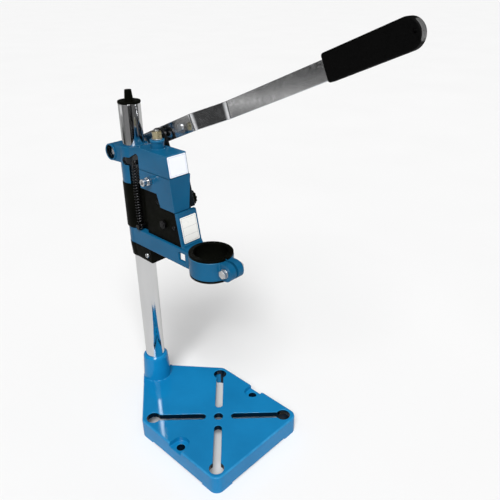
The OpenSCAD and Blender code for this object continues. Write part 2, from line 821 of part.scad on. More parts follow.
// Least gap between neighbouring turns, measured on the path's points
near_rings = rings_per_turn - 3;
spring_gap = min([for (i = [0 : wire_rings - 1 - near_rings], j = [i + near_rings : wire_rings - 1])
  norm(spring_path[i] - spring_path[j])]) - wire_d;
module return_spring() {
  echo(spring_gap = spring_gap);
  points = [for (i = [0 : wire_rings - 1]) each wire_ring(i)];
  sides = [for (i = [0 : wire_rings - 2], k = [0 : wire_sides - 1])
    let(a = i * wire_sides + k, b = i * wire_sides + (k + 1) % wire_sides)
    each [[a, a + wire_sides, b], [b, a + wire_sides, b + wire_sides]]];
  last = (wire_rings - 1) * wire_sides;
  ends = [for (k = [1 : wire_sides - 2]) each [[0, k, k + 1], [last, last + k + 1, last + k]]];
  color(soft_black) translate([spring_x, spring_y, 0]) polyhedron(points, concat(sides, ends));
}

// Label plates on the two front faces
label_t = 0.5;
module leaning_label(y, z, lean, w, h) {
  color(paper) translate([-w / 2, y, z]) rotate([-lean, 0, 0]) translate([0, -label_t, 0])
    cube([w, label_t, h]);
}
head_label_side = 2.5;
head_label_up = 1;
head_label_down = 1.2;
module head_label() {
  z = ledge_z + head_label_up;
  y = front_low_y + tan(front_lean) * (z - hood_low_z) + ledge_step;
  leaning_label(y, z, front_lean, hood_w - 2 * head_label_side, head_top - z - head_label_down);
}

// Lever: flat bar with two bends, its bush, grip, rivet and drive pin
lever_path = [
  [lever_mid_x, eye_d / 2], [lever_mid_x, -bend_start], [lever_mid_x + lever_set, -bend_start - bend_run],
  [lever_mid_x + lever_set, -lever_len + grip_bar_end]
];
module lever_bar() {
  color(chrome) lever_place() difference() {
    intersection() {
      translate([0, 0, -eye_d]) linear_extrude(2 * eye_d) polygon(ribbon(lever_path, lever_t));
      across(0, lever_mid_x + lever_set + lever_t) {
        circle(d = eye_d);
        translate([-lever_len, -lever_h / 2]) square([lever_len, lever_h]);
      }
    }
    x_rod(pivot_r + lever_bush_wall + seat_gap, 0, lever_x + lever_t + over, 0, 0);
    x_rod(drive_pin_d / 2 + seat_gap, 0, lever_x + lever_t + over, -crank_r, 0);
    x_rod(bolt_r + seat_gap, 0, lever_x + lever_t + over, -rivet_r, 0);
  }
}
module lever_bush() {
  color(brass) lever_place()
    x_washer(pivot_r + run_gap, pivot_r + lever_bush_wall, lever_x, lever_x + lever_t, 0, 0);
}
grip_hole_in = 6;
module lever_grip() {
  mid_x = lever_mid_x + lever_set;
  x0 = mid_x - grip_t / 2;
  slot_half = lever_t / 2 + seat_gap;
  round_r = grip_h / 2;
  color(soft_black) lever_place() difference() {
    across(x0, x0 + grip_t) translate([0, grip_up]) {
      translate([-lever_len + round_r, 0]) circle(round_r);
      translate([-lever_len + round_r, -round_r]) square([grip_len - round_r, grip_h]);
    }
    box([mid_x - slot_half, -lever_len + grip_bar_end - seat_gap, -lever_h / 2 - seat_gap],
        [mid_x + slot_half, -lever_len + grip_len + over, lever_h / 2 + seat_gap]);
    x_rod(grip_hole_r, x0 - over, x0 + grip_t + over, -lever_len + grip_hole_in, grip_up);
  }
}
rivet_head_r = 4.6;
rivet_head_t = 1.8;
module lever_rivet() {
  x1 = lever_x + lever_t;
  color(steel) lever_place() {
    x_rod(bolt_r, lever_x - over, x1 + over, -rivet_r, 0);
    x_rod(rivet_head_r, lever_x - rivet_head_t, lever_x, -rivet_r, 0);
    x_rod(rivet_head_r, x1, x1 + rivet_head_t, -rivet_r, 0);
  }
}
pin_head_out = 2;
pin_head_t = 2.5;
pin_reach = 1;
module drive_pin() {
  x1 = lever_x + lever_t;
  color(steel) lever_place() {
    x_rod(drive_pin_d / 2, drive_x - pin_reach, x1 + over, -crank_r, 0);
    x_rod(drive_pin_d / 2 + pin_head_out, x1, x1 + pin_head_t, -crank_r, 0);
  }
}

// Carriage casting: arm, collar with clamp ears, and front wall
module front_wall_outline() {
  polygon([[wall_low_y, arm_top - over], [wall_low_y + front_wall_t, arm_top - over],
           [wall_top_y + front_wall_t, front_wall_top], [wall_top_y, front_wall_top]]);
}
// Hollow curve at the foot of the front wall
wall_foot_sink = 1.5;
module wall_foot() {
  difference() {
    box([-front_wall_w / 2, wall_low_y - wall_foot_r, arm_top - over],
        [front_wall_w / 2, wall_low_y + wall_foot_sink, arm_top + wall_foot_r]);
    x_rod(wall_foot_r, -front_wall_w, front_wall_w, wall_low_y - wall_foot_r, arm_top + wall_foot_r);
  }
}
arm_bore_gap = 1;
arm_sleeve_in = 1.2;
// Bore for a plate screw, from a side plate's outer face inwards
module plate_screw_bore(side, y, z) {
  x0 = side > 0 ? plate_out - plate_bore_len : -plate_out;
  x_rod(screw_r + seat_gap, x0, x0 + plate_bore_len, y, z);
}
module carriage_casting() {
  color(head_blue) difference() {
    union() {
      box([-arm_w / 2, 0, arm_z], [arm_w / 2, reach, arm_top]);
      on_column() z_rod(sleeve_r - arm_sleeve_in, arm_z, arm_top, 0, 0);
      z_rod(collar_d / 2, arm_z, collar_top, 0, 0);
      x_rod(ear_d / 2, -ear_w / 2, ear_w / 2, -ear_front, ear_z);
      box([-ear_w / 2, -ear_front, ear_z - ear_d / 2], [ear_w / 2, 0, ear_z + ear_d / 2]);
      across(-front_wall_w / 2, front_wall_w / 2) front_wall_outline();
      wall_foot();
      box([-guide_half + seat_gap, wall_top_y, screw_boss_z - screw_boss_half],
          [guide_half - seat_gap, screw_boss_y + screw_boss_rear, screw_boss_z + screw_boss_half]);
    }
    on_column() z_rod(column_r + arm_bore_gap, arm_z - over, arm_top + over, 0, 0);
    z_rod(liner_r + seat_gap, arm_z - over, collar_top + over, 0, 0);
    z_rod(liner_rim_r + seat_gap, collar_top, liner_flange_top + seat_gap, 0, 0);
    box([-slit_w / 2, -ear_front - ear_d, arm_z - over], [slit_w / 2, 0, collar_top + over]);
    x_rod(bolt_r + seat_gap, -ear_w, ear_w, -ear_front, ear_z);
    box([-arm_w / 2 + arm_wall, pocket_front_y, arm_z - over],
        [arm_w / 2 - arm_wall, pocket_rear_y, arm_top - arm_roof]);
    box([-arm_w, pocket_front_y, arm_top - arm_roof - window_h],
        [arm_w, pocket_front_y + window_len, arm_top - arm_roof]);
    z_rod(rod_r + rod_bore_gap, arm_z, arm_top + over, 0, rod_y);
    for (s = [-1, 1]) plate_screw_bore(s, screw_boss_y, screw_boss_z);
  }
}
guide_sleeve_out = 0.5;
module guide_body() {
  color(soft_black) difference() {
    union() {
      on_column() z_rod(sleeve_r + guide_sleeve_out, arm_top, guide_top, 0, 0);
      box([-guide_web_half, guide_rear_y - over, arm_top], [guide_web_half, reach, guide_top]);
      box([-guide_half, guide_front_y, arm_top], [guide_half, guide_rear_y, guide_top - guide_step]);
    }
    on_column() z_rod(column_r + run_gap, arm_top - over, head_z + over, 0, 0);
    z_rod(rod_bush_r + seat_gap, arm_top - over, head_z + over, 0, rod_y);
    for (s = [-1, 1]) plate_screw_bore(s, plate_screw_y, plate_screw_z);
    x_rod(screw_r + seat_gap, -guide_w, spring_bore_x, spring_y, spring_screw_z);
    x_rod(bolt_r + seat_gap, -guide_w, guide_w, drive_bolt_y, drive_bolt_z);
    x_rod(bolt_r + seat_gap, 0, guide_w, drive_bolt_2_y, drive_bolt_z);
  }
}
module rod_bush() {
  color(brass) z_ring(rod_r + run_gap, rod_bush_r, rod_bush_low, guide_top - guide_step, 0, rod_y);
}
bush_sleeve_in = 0.8;
bush_side_in = 1.5;
bush_screw_len = 10;
bush_bore_len = 11;
module lower_bush() {
  side_x = sleeve_r - bush_side_in;
  in_x = side_x - bush_bore_len;
  color(soft_black) difference() {
    union() {
      on_column() z_rod(sleeve_r - bush_sleeve_in, arm_z - lower_bush_h, arm_z, 0, 0);
      box([-side_x, reach - lower_bush_front, arm_z - lower_bush_h], [side_x, reach, arm_z]);
    }
    on_column() z_rod(column_r + run_gap, arm_z - lower_bush_h - over, arm_z + over, 0, 0);
    for (x0 = [in_x, -side_x - over])
      x_rod(screw_r + seat_gap, x0, x0 + bush_bore_len + over, bush_screw_y, bush_screw_z);
  }
}
// Round-headed screw along X: seat is the face under its head, depth its shank
module plate_screw(side, seat, depth, y, z, head_d = round_head_d, head_t = round_head_t) {
  translate([0, y, z]) mirror([side > 0 ? 0 : 1, 0, 0]) {
    x_rod(screw_r, seat - depth, seat + over, 0, 0);
    x_rod(head_d / 2, seat, seat + head_t, 0, 0);
  }
}
module bush_screws() {
  color(steel) for (s = [-1, 1])
    plate_screw(s, sleeve_r - bush_side_in, bush_screw_len, bush_screw_y, bush_screw_z);
}
plate_gap = 0.3;
plate_lip = 3;
plate_shoulder = 2;
module plate_outline() {
  inner = wall_low_y + front_wall_t + plate_gap;
  lean = (wall_top_y - wall_low_y) / front_wall_h;
  polygon([
    [inner, arm_top], [guide_rear_y, arm_top], [guide_rear_y, plate_top], [plate_step_y, plate_top],
    [plate_step_y, front_wall_top + plate_lip],
    [inner + lean * front_wall_h, front_wall_top - plate_shoulder]
  ]);
}
module side_plate(side) {
  x0 = side > 0 ? guide_half : -plate_out;
  color(soft_black) difference() {
    across(x0, x0 + plate_t) plate_outline();
    x_rod(screw_r + seat_gap, x0 - over, x0 + plate_t + over, plate_screw_y, plate_screw_z);
    x_rod(screw_r + seat_gap, x0 - over, x0 + plate_t + over, screw_boss_y, screw_boss_z);
    x_rod(bolt_r + seat_gap, x0 - over, x0 + plate_t + over, drive_bolt_y, drive_bolt_z);
    if (side > 0)
      x_rod(bolt_r + seat_gap, x0 - over, x0 + plate_t + over, drive_bolt_2_y, drive_bolt_z);
  }
}
module side_plate_left() {
  side_plate(-1);
}
module side_plate_right() {
  side_plate(1);
}
module side_plate_screws() {
  color(steel) for (s = [-1, 1]) {
    plate_screw(s, plate_out, plate_screw_len, plate_screw_y, plate_screw_z, small_head_d, small_head_t);
    plate_screw(s, plate_out, plate_screw_len, screw_boss_y, screw_boss_z, small_head_d, small_head_t);
  }
}

// Drive plate on the right side plate: the lever's pin runs in its slot
drive_slot_wall = 4;
drive_end_r = drive_slot_r + drive_slot_wall;
drive_discs = [
  [drive_bolt_y, drive_bolt_z, drive_pad_r], [drive_bolt_2_y, drive_bolt_z, drive_pad_r],
  [crank_near_y, crank_z, drive_end_r], [crank_far_y, crank_z, drive_end_r]
];
module drive_plate() {
  color(steel) difference() {
    across(drive_x, drive_x + drive_plate_t) difference() {
      disc_outline(drive_discs);
      disc_outline([[crank_far_y - slot_end_gap, drive_slot_z, drive_slot_r],
                    [crank_near_y + slot_end_gap, drive_slot_z, drive_slot_r]]);
    }
    for (y = [drive_bolt_y, drive_bolt_2_y])
      x_rod(bolt_r + seat_gap, drive_x - over, drive_x + drive_plate_t + over, y, drive_bolt_z);
  }
}
module drive_spacers() {
  color(steel) for (y = [drive_bolt_y, drive_bolt_2_y])
    x_washer(bolt_r + seat_gap, bolt_d, plate_out, drive_x, y, drive_bolt_z);
}
drive_head_x = drive_x + drive_plate_t;
drive_nut_t = 3.5;
drive_bolt_proud = 0.5;
module drive_bolts() {
  lows = [-plate_out - drive_nut_t - drive_bolt_proud, drive_bolt_proud];
  ys = [drive_bolt_y, drive_bolt_2_y];
  color(steel) for (i = [0, 1]) {
    x_rod(bolt_r, lows[i], drive_head_x + over, ys[i], drive_bolt_z);
    x_rod(hex_r(bolt_flats), drive_head_x, drive_head_x + bolt_head_t, ys[i], drive_bolt_z, 6);
  }
}
module drive_bolt_nut() {
  color(soft_black)
    x_nut(bolt_r + seat_gap, bolt_flats, -plate_out - drive_nut_t, -plate_out, drive_bolt_y, drive_bolt_z);
}

// Collar liner and clamp bolt
module collar_liner() {
  low = arm_z - liner_drop;
  high = liner_flange_top;
  color(soft_black) difference() {
    union() {
      z_rod(liner_r, low, high, 0, 0);
      z_rod(liner_rim_r, collar_top, high, 0, 0);
      z_rod(liner_rim_r, low, arm_z, 0, 0);
    }
    z_rod(neck_d / 2, low - over, high + over, 0, 0);
    box([-slit_w / 2, -collar_d, low - over], [slit_w / 2, 0, high + over]);
  }
}
collar_washer_t = 1.2;
collar_bolt_seat = ear_w / 2 + collar_washer_t;
collar_nut_t = 5;
collar_bolt_proud = 1.5;
module collar_bolt() {
  x1 = collar_bolt_seat + collar_nut_t + collar_bolt_proud;
  color(steel) {
    x_rod(bolt_r, -collar_bolt_seat - over, x1, -ear_front, ear_z);
    x_rod(hex_r(bolt_flats), -collar_bolt_seat - bolt_head_t, -collar_bolt_seat, -ear_front, ear_z, 6);
  }
}
module collar_nut() {
  x1 = collar_bolt_seat + collar_nut_t;
  color(steel) x_nut(bolt_r + seat_gap, bolt_flats, collar_bolt_seat, x1, -ear_front, ear_z);
}
module collar_washers() {
  color(steel) for (x0 = [-collar_bolt_seat, ear_w / 2])
    x_washer(bolt_r + seat_gap, bolt_d, x0, x0 + collar_washer_t, -ear_front, ear_z);
}
wall_label_side = 2.5;
wall_label_up = 7;
wall_label_down = 5;
module carriage_label() {
  lean = atan2(wall_top_y - wall_low_y, front_wall_h + over);
  z = arm_top + wall_label_up;
  y = wall_low_y + tan(lean) * (wall_label_up + over);
  h = front_wall_h - wall_label_up - wall_label_down;
  leaning_label(y, z, lean, front_wall_w - 2 * wall_label_side, h);
}

base_plate();
column_set_screw();
column_tube();
column_cap();
head_casting();
head_set_screw();
lever_pivot_pin();
pivot_ring();
pivot_spacer();
pivot_washer();
pivot_nut();
guide_rod();
rod_washer();
rod_nut();
rod_lock_screw();
rod_lock_nut();
spring_hook_pin();
return_spring();
head_label();
lock_knob();
lock_stud();
lever_bar();
lever_bush();
lever_grip();
lever_rivet();
drive_pin();
carriage_casting();
guide_body();
rod_bush();
lower_bush();
bush_screws();
side_plate_left();
side_plate_right();
side_plate_screws();
drive_plate();
drive_spacers();
drive_bolts();
drive_bolt_nut();
spring_screw();
collar_liner();
collar_bolt();
collar_nut();
collar_washers();
carriage_label();
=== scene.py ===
import json
import math
import bmesh
import bpy
from mathutils import Matrix, Vector
from mathutils.bvhtree import BVHTree
from mathutils.geometry import tessellate_polygon
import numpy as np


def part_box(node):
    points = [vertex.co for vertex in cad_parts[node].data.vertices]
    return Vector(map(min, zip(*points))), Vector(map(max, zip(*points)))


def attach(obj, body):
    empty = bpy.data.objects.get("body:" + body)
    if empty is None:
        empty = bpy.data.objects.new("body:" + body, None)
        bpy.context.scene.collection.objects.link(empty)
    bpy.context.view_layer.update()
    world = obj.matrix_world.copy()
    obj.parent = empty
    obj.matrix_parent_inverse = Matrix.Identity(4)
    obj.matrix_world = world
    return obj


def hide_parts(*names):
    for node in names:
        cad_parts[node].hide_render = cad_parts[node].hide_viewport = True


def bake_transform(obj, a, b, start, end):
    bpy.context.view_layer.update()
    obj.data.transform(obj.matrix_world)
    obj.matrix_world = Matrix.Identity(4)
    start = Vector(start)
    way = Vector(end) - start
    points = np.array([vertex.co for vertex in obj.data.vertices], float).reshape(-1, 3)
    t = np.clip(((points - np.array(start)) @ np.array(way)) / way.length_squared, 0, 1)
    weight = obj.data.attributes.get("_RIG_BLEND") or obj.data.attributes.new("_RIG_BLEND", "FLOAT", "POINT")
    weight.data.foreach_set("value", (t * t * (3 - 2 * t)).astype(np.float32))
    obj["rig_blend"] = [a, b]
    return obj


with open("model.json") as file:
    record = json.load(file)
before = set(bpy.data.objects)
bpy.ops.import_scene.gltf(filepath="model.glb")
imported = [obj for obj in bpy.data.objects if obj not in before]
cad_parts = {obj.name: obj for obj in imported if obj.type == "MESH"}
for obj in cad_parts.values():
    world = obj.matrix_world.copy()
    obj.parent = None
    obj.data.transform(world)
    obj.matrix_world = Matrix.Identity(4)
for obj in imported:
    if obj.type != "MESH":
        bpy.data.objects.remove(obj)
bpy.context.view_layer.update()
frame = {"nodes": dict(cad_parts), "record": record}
scene = bpy.context.scene
nodes = frame["nodes"]
bodyOf = {node: body for body, members in frame["record"]["behaviour"]["bodies"].items() for node in members}
slotOf = {row["node"]: row["material_slot"] for row in frame["record"]["subparts"]}
mm = 0.001
print("frame loaded:", len(nodes), "nodes")


# Puts data into the scene as an object
def placed(name, data):
    made = bpy.data.objects.new(name, data)
    scene.collection.objects.link(made)
    return made


# Photograph's viewpoint, worked out from the base holes, the column and the collar
cameraSet = {"azimuth": -46.08, "elevation": 27.07, "roll": -0.57, "distance": 661.8,
             "target": (22.64, -44.12, 301.73), "lens": 40.18, "sensor": 36.0, "clip": (0.01, 200.0)}


def placeCamera(s):
    az, el, roll = (math.radians(s[k]) for k in ("azimuth", "elevation", "roll"))
    back = Vector((math.sin(az) * math.cos(el), -math.cos(az) * math.cos(el), math.sin(el)))
    right = (-back).cross(Vector((0, 0, 1))).normalized()
    up = right.cross(-back)
    across = right * math.cos(roll) + up * math.sin(roll)
    upright = up * math.cos(roll) - right * math.sin(roll)
    spot = (Vector(s["target"]) + back * s["distance"]) * mm
    data = bpy.data.cameras.new("photoCamera")
    data.lens, data.sensor_width, data.sensor_fit = s["lens"], s["sensor"], "AUTO"
    data.clip_start, data.clip_end = s["clip"]
    scene.camera = placed("photoCamera", data)
    turn = Matrix((across, upright, back)).transposed().to_4x4()
    scene.camera.matrix_world = Matrix.Translation(spot) @ turn


placeCamera(cameraSet)
scene.view_settings.view_transform = "Standard"


# Shader helpers
def paint(r, g, b):
    def line(c):
        c /= 255.0
        return c / 12.92 if c <= 0.04045 else ((c + 0.055) / 1.055) ** 2.4
    return (line(r), line(g), line(b), 1.0)


def newFinish(name):
    material = bpy.data.materials.new(name)
    material.use_nodes = True
    tree = material.node_tree
    tree.nodes.clear()
    out = tree.nodes.new("ShaderNodeOutputMaterial")
    shader = tree.nodes.new("ShaderNodeBsdfPrincipled")
    tree.links.new(shader.outputs["BSDF"], out.inputs["Surface"])
    coords = tree.nodes.new("ShaderNodeTexCoord")
    return material, tree, shader, coords.outputs["Object"]


def stretched(tree, coords, scale):
    node = tree.nodes.new("ShaderNodeMapping")
    node.inputs["Scale"].default_value = scale
    tree.links.new(coords, node.inputs["Vector"])
    return node.outputs["Vector"]


def noiseOf(tree, coords, scale, detail=3.0, rough=0.5):
    node = tree.nodes.new("ShaderNodeTexNoise")
    node.inputs["Scale"].default_value = scale
    node.inputs["Detail"].default_value = detail
    node.inputs["Roughness"].default_value = rough
    tree.links.new(coords, node.inputs["Vector"])
    return node.outputs[0]


def rampOf(tree, value, stops):
    node = tree.nodes.new("ShaderNodeValToRGB")
    marks = node.color_ramp.elements
    while len(marks) < len(stops):
        marks.new(0.5)
    for mark, (place, color) in zip(marks, stops):
        mark.position, mark.color = place, color
    tree.links.new(value, node.inputs[0])
    return node.outputs["Color"]


def spanOf(tree, value, low, high, fromLow=0.3, fromHigh=0.7):
    node = tree.nodes.new("ShaderNodeMapRange")
    for key, number in (("From Min", fromLow), ("From Max", fromHigh), ("To Min", low), ("To Max", high)):
        node.inputs[key].default_value = number
    tree.links.new(value, node.inputs["Value"])
    return node.outputs["Result"]


# Links a socket to another one, or sets its value
def feed(tree, socket, given):
    if isinstance(given, bpy.types.NodeSocket):
        tree.links.new(given, socket)
    else:
        socket.default_value = given


def mixOf(tree, share, first, second):
    node = tree.nodes.new("ShaderNodeMix")
    node.data_type, node.blend_type = "RGBA", "MIX"
    for place, given in ((0, share), (6, first), (7, second)):
        feed(tree, node.inputs[place], given)
    return node.outputs[2]


def mathOf(tree, kind, first, second):
    node = tree.nodes.new("ShaderNodeMath")
    node.operation = kind
    feed(tree, node.inputs[0], first)
    feed(tree, node.inputs[1], second)
    return node.outputs[0]


def bumpTo(tree, shader, height, strength, depth):
    node = tree.nodes.new("ShaderNodeBump")
    node.inputs["Strength"].default_value = strength
    node.inputs["Distance"].default_value = depth
    tree.links.new(height, node.inputs["Height"])
    tree.links.new(node.outputs["Normal"], shader.inputs["Normal"])


def colorTo(tree, shader, tone):
    tree.links.new(tone, shader.inputs["Base Color"])


def roughTo(tree, shader, noise, rough):
    tree.links.new(spanOf(tree, noise, *rough), shader.inputs["Roughness"])


def attributeOf(tree, name):
    node = tree.nodes.new("ShaderNodeAttribute")
    node.attribute_name = name
    return node.outputs["Fac"]


# Glossy enamel on a casting: cloudy tone, orange peel, paler paint on the rounded edges, partly wear and
# partly a painted highlight
enamelSet = {"cloud": 14, "speck": 420, "speckShare": 0.10, "paleEdgeScale": 90, "paleEdgeSpan": (0.15, 0.6), "sheen": 60,
             "peel": 520, "peelBump": (0.04, 0.0006)}


def enamel(name, low, high, edge, rough=(0.10, 0.18), gloss=0.3):
    s = enamelSet
    material, tree, shader, coords = newFinish(name)
    tone = rampOf(tree, noiseOf(tree, coords, s["cloud"], 4), [(0.32, low), (0.68, high)])
    speck = noiseOf(tree, coords, s["speck"], 2)
    tone = mixOf(tree, spanOf(tree, speck, 0.0, s["speckShare"], 0.45, 0.75), tone, low)
    # Paler colour on the marked edges, partly wear and partly a painted highlight
    paleEdgeCloud = spanOf(tree, noiseOf(tree, coords, s["paleEdgeScale"]), *s["paleEdgeSpan"])
    paleEdgeShare = mathOf(tree, "MULTIPLY", attributeOf(tree, "edgeWearAndHighlight"), paleEdgeCloud)
    colorTo(tree, shader, mixOf(tree, paleEdgeShare, tone, edge))
    roughTo(tree, shader, noiseOf(tree, coords, s["sheen"]), rough)
    shader.inputs["Specular IOR Level"].default_value = gloss
    bumpTo(tree, shader, noiseOf(tree, coords, s["peel"], 2), *s["peelBump"])
    return material


# Plated or bare metal with fine streaks along one axis
def metal(name, low, high, rough, grain, streak=(1, 1, 1), depth=0.03):
    material, tree, shader, coords = newFinish(name)
    lines = stretched(tree, coords, streak)
    tone = rampOf(tree, noiseOf(tree, lines, grain * 0.2, 4), [(0.3, low), (0.7, high)])
    colorTo(tree, shader, tone)
    roughTo(tree, shader, noiseOf(tree, lines, grain), rough)
    shader.inputs["Metallic"].default_value = 1.0
    bumpTo(tree, shader, noiseOf(tree, lines, grain * 2, 2), depth, 0.0003)
    return material


# Moulded black plastic: fine spark texture, slightly olive in the light
mouldedSet = {"cloud": 35, "sheen": 160, "gloss": 0.03, "grain": 1100, "grainBump": (0.12, 0.0003)}


def moulded(name, low, high, rough):
    s = mouldedSet
    material, tree, shader, coords = newFinish(name)
    tone = rampOf(tree, noiseOf(tree, coords, s["cloud"], 4), [(0.3, low), (0.7, high)])
    colorTo(tree, shader, tone)
    roughTo(tree, shader, noiseOf(tree, coords, s["sheen"]), rough)
    shader.inputs["Specular IOR Level"].default_value = s["gloss"]
    bumpTo(tree, shader, noiseOf(tree, coords, s["grain"], 3, 0.6), *s["grainBump"])
    return material


# Grip rubber: pebbled grain with duller pits
pebbledSet = {"cells": 620, "soft": 0.6, "grain": 240, "sheen": 120, "bump": (0.35, 0.0004)}


def pebbled(name, low, high, rough=(0.5, 0.65), gloss=0.05):
    s = pebbledSet
    material, tree, shader, coords = newFinish(name)
    cells = tree.nodes.new("ShaderNodeTexVoronoi")
    cells.feature = "SMOOTH_F1"
    cells.inputs["Scale"].default_value = s["cells"]
    cells.inputs["Smoothness"].default_value = s["soft"]
    tree.links.new(coords, cells.inputs["Vector"])
    grain = mathOf(tree, "ADD", cells.outputs["Distance"], noiseOf(tree, coords, s["grain"], 4))
    colorTo(tree, shader, rampOf(tree, grain, [(0.45, low), (1.15, high)]))
    roughTo(tree, shader, noiseOf(tree, coords, s["sheen"]), rough)
    shader.inputs["Specular IOR Level"].default_value = gloss
    bumpTo(tree, shader, grain, *s["bump"])
    return material


# Bare film: a pale sheet with a thin frame and plain rules, all from its own UV in millimetres
filmSet = {"frameIn": 1.5, "frameHalf": 0.16, "ruleHalf": 0.13, "ink": 0.7, "aged": (0.9, 0.9, 0.88),
           "fade": 130, "fadeShare": 0.25, "sheen": 90, "rough": (0.25, 0.4), "grain": 260,
           "bump": (0.03, 0.0003)}


def film(name, sheet, line, halfW, halfH, rules):
    s = filmSet
    material, tree, shader, coords = newFinish(name)
    uv = tree.nodes.new("ShaderNodeUVMap")
    split = tree.nodes.new("ShaderNodeSeparateXYZ")
    tree.links.new(uv.outputs["UV"], split.inputs["Vector"])
    across = mathOf(tree, "ABSOLUTE", split.outputs["X"], 0.0)
    high = mathOf(tree, "ABSOLUTE", split.outputs["Y"], 0.0)
    fromSide = mathOf(tree, "SUBTRACT", halfW, across)
    fromEnd = mathOf(tree, "SUBTRACT", halfH, high)
    edge = mathOf(tree, "MINIMUM", fromSide, fromEnd)
    marks = mathOf(tree, "COMPARE", edge, s["frameIn"])
    marks.node.inputs[2].default_value = s["frameHalf"]
    inside = mathOf(tree, "GREATER_THAN", edge, s["frameIn"])
    for level in rules:
        rule = mathOf(tree, "COMPARE", split.outputs["Y"], level)
        rule.node.inputs[2].default_value = s["ruleHalf"]
        marks = mathOf(tree, "MAXIMUM", marks, mathOf(tree, "MULTIPLY", rule, inside))
    aged = [c * share for c, share in zip(sheet, s["aged"])] + [1.0]
    tone = mixOf(tree, spanOf(tree, noiseOf(tree, coords, s["fade"]), 0.0, s["fadeShare"]), sheet, aged)
    inked = mathOf(tree, "MULTIPLY", marks, s["ink"])
    colorTo(tree, shader, mixOf(tree, inked, tone, line))
    roughTo(tree, shader, noiseOf(tree, coords, s["sheen"]), s["rough"])
    bumpTo(tree, shader, noiseOf(tree, coords, s["grain"], 2), *s["bump"])
    return material


# A finish for each slot, then four for single pieces or parts of them
finishes = {
    "base_paint": enamel("baseEnamel", (0.003, 0.165, 0.38, 1), (0.005, 0.20, 0.45, 1), (0.05, 0.30, 0.56, 1),
                         rough=(0.06, 0.11)),
    # The head's enamel is darker than the base's, partly a darker paint and partly painted shade
    "head_paint": enamel("headEnamel", (0.004, 0.075, 0.165, 1), (0.006, 0.105, 0.225, 1),
                         (0.05, 0.20, 0.32, 1), rough=(0.14, 0.22), gloss=0.15),
    "chrome": metal("polishedChrome", (0.72, 0.73, 0.75, 1), (0.84, 0.85, 0.87, 1), (0.05, 0.11),
                    streak=(1, 1, 0.2), grain=180, depth=0.01),
    "steel": metal("zincSteel", (0.52, 0.53, 0.55, 1), (0.70, 0.71, 0.72, 1), (0.24, 0.40),
                   grain=420, depth=0.04),
    "black_steel": metal("blackOxide", (0.012, 0.012, 0.013, 1), (0.035, 0.035, 0.036, 1), (0.35, 0.5),
                         grain=420, depth=0.04),
    "spring_wire": metal("springWire", (0.03, 0.03, 0.032, 1), (0.08, 0.08, 0.083, 1), (0.22, 0.38),
                         grain=500),
    "brass": metal("dullBrass", (0.50, 0.43, 0.25, 1), (0.68, 0.62, 0.44, 1), (0.22, 0.38),
                   grain=380, depth=0.04),
    "black_plastic": moulded("blackMoulding", (0.0008, 0.0009, 0.0005, 1), (0.0030, 0.0034, 0.0018, 1),
                             (0.38, 0.55)),
    "grip_rubber": pebbled("gripRubber", (0.0004, 0.0004, 0.0004, 1), (0.0016, 0.0016, 0.0016, 1)),
}
# Painted highlight for the grip's end: paler, glossier rubber
gripEndHighlight = pebbled("gripEndHighlight", (0.03, 0.03, 0.03, 1), (0.12, 0.12, 0.12, 1), rough=(0.25, 0.4), gloss=0.4)
channelShade = enamel("channelShade", (0.001, 0.003, 0.005, 1), (0.002, 0.006, 0.010, 1),
                      (0.02, 0.06, 0.10, 1))
slotShade = enamel("slotShade", (0.0005, 0.006, 0.016, 1), (0.001, 0.012, 0.030, 1), (0.01, 0.08, 0.16, 1))
leverChrome = metal("leverChrome", (0.70, 0.71, 0.73, 1), (0.84, 0.85, 0.87, 1), (0.10, 0.17),
                    streak=(0.3, 1, 1), grain=240, depth=0.006)
print("finishes made:", len(bpy.data.materials))


# Rounding of edges: lengths in metres, angles in degrees, flatTurn in radians; shares are tried in turn
roundSet = {"merge": 2e-6, "flatWithin": 0.6, "flatTurn": 0.002, "sharpFrom": 36, "shares": (1.0, 0.5, 0.25),
            "ring": 1.15, "ringRoom": 0.9, "faceRoom": 0.45, "stray": 0.8, "crossBy": -1e-16,
            "crossSides": 40, "foldShare": 0.08, "foldArea": 4e-7, "level": 0.99, "leastArea": 1e-12,
            "seenArea": 1e-10, "turnedOver": 0.05}


def meshFrom(bm, name):
    mesh = bpy.data.meshes.new(name)
    bm.to_mesh(mesh)
    bm.free()
    return mesh


def bevel(bm, edges, width, segments, slide=False):
    return bmesh.ops.bevel(bm, geom=edges, offset=width * mm, offset_type="OFFSET", segments=segments,
                           profile=0.5, affect="EDGES", clamp_overlap=False, loop_slide=slide)


# Middle of an edge in millimetres
def middleOf(edge):
    return (edge.verts[0].co + edge.verts[1].co) / (2 * mm)


# Copy of a node with its flats joined up, apart from the edges that keep picks out
def copiedNode(node, keep=None):
    bm = bmesh.new()
    bm.from_mesh(nodes[node].data)
    bmesh.ops.remove_doubles(bm, verts=bm.verts, dist=roundSet["merge"])
    kept = {edge for edge in bm.edges if keep and keep(middleOf(edge))}
    around = {vert for edge in kept for vert in edge.verts}
    freeVerts = [vert for vert in bm.verts if vert not in around]
    freeEdges = [edge for edge in bm.edges if edge not in kept]
    within = math.radians(roundSet["flatWithin"])
    bmesh.ops.dissolve_limit(bm, angle_limit=within, verts=freeVerts, edges=freeEdges)
    return bm


# Groups of items that are joined step by step
def joined(items, nextTo):
    seen, groups = set(), []
    for item in items:
        if item in seen:
            continue
        seen.add(item)
        group, queue = [item], [item]
        while queue:
            for other in nextTo(queue.pop()):
                if other not in seen:
                    seen.add(other)
                    group.append(other)
                    queue.append(other)
        groups.append(group)
    return groups


# Flat regions of a mesh: faces joined across edges that don't turn
def flatRegions(bm, zone):
    def beside(face):
        for edge in face.edges:
            if len(edge.link_faces) == 2 and edge.calc_face_angle(9.0) < roundSet["flatTurn"]:
                yield from (other for other in edge.link_faces if zone(other) == zone(face))

    return [[face.index for face in region] for region in joined(bm.faces, beside)]


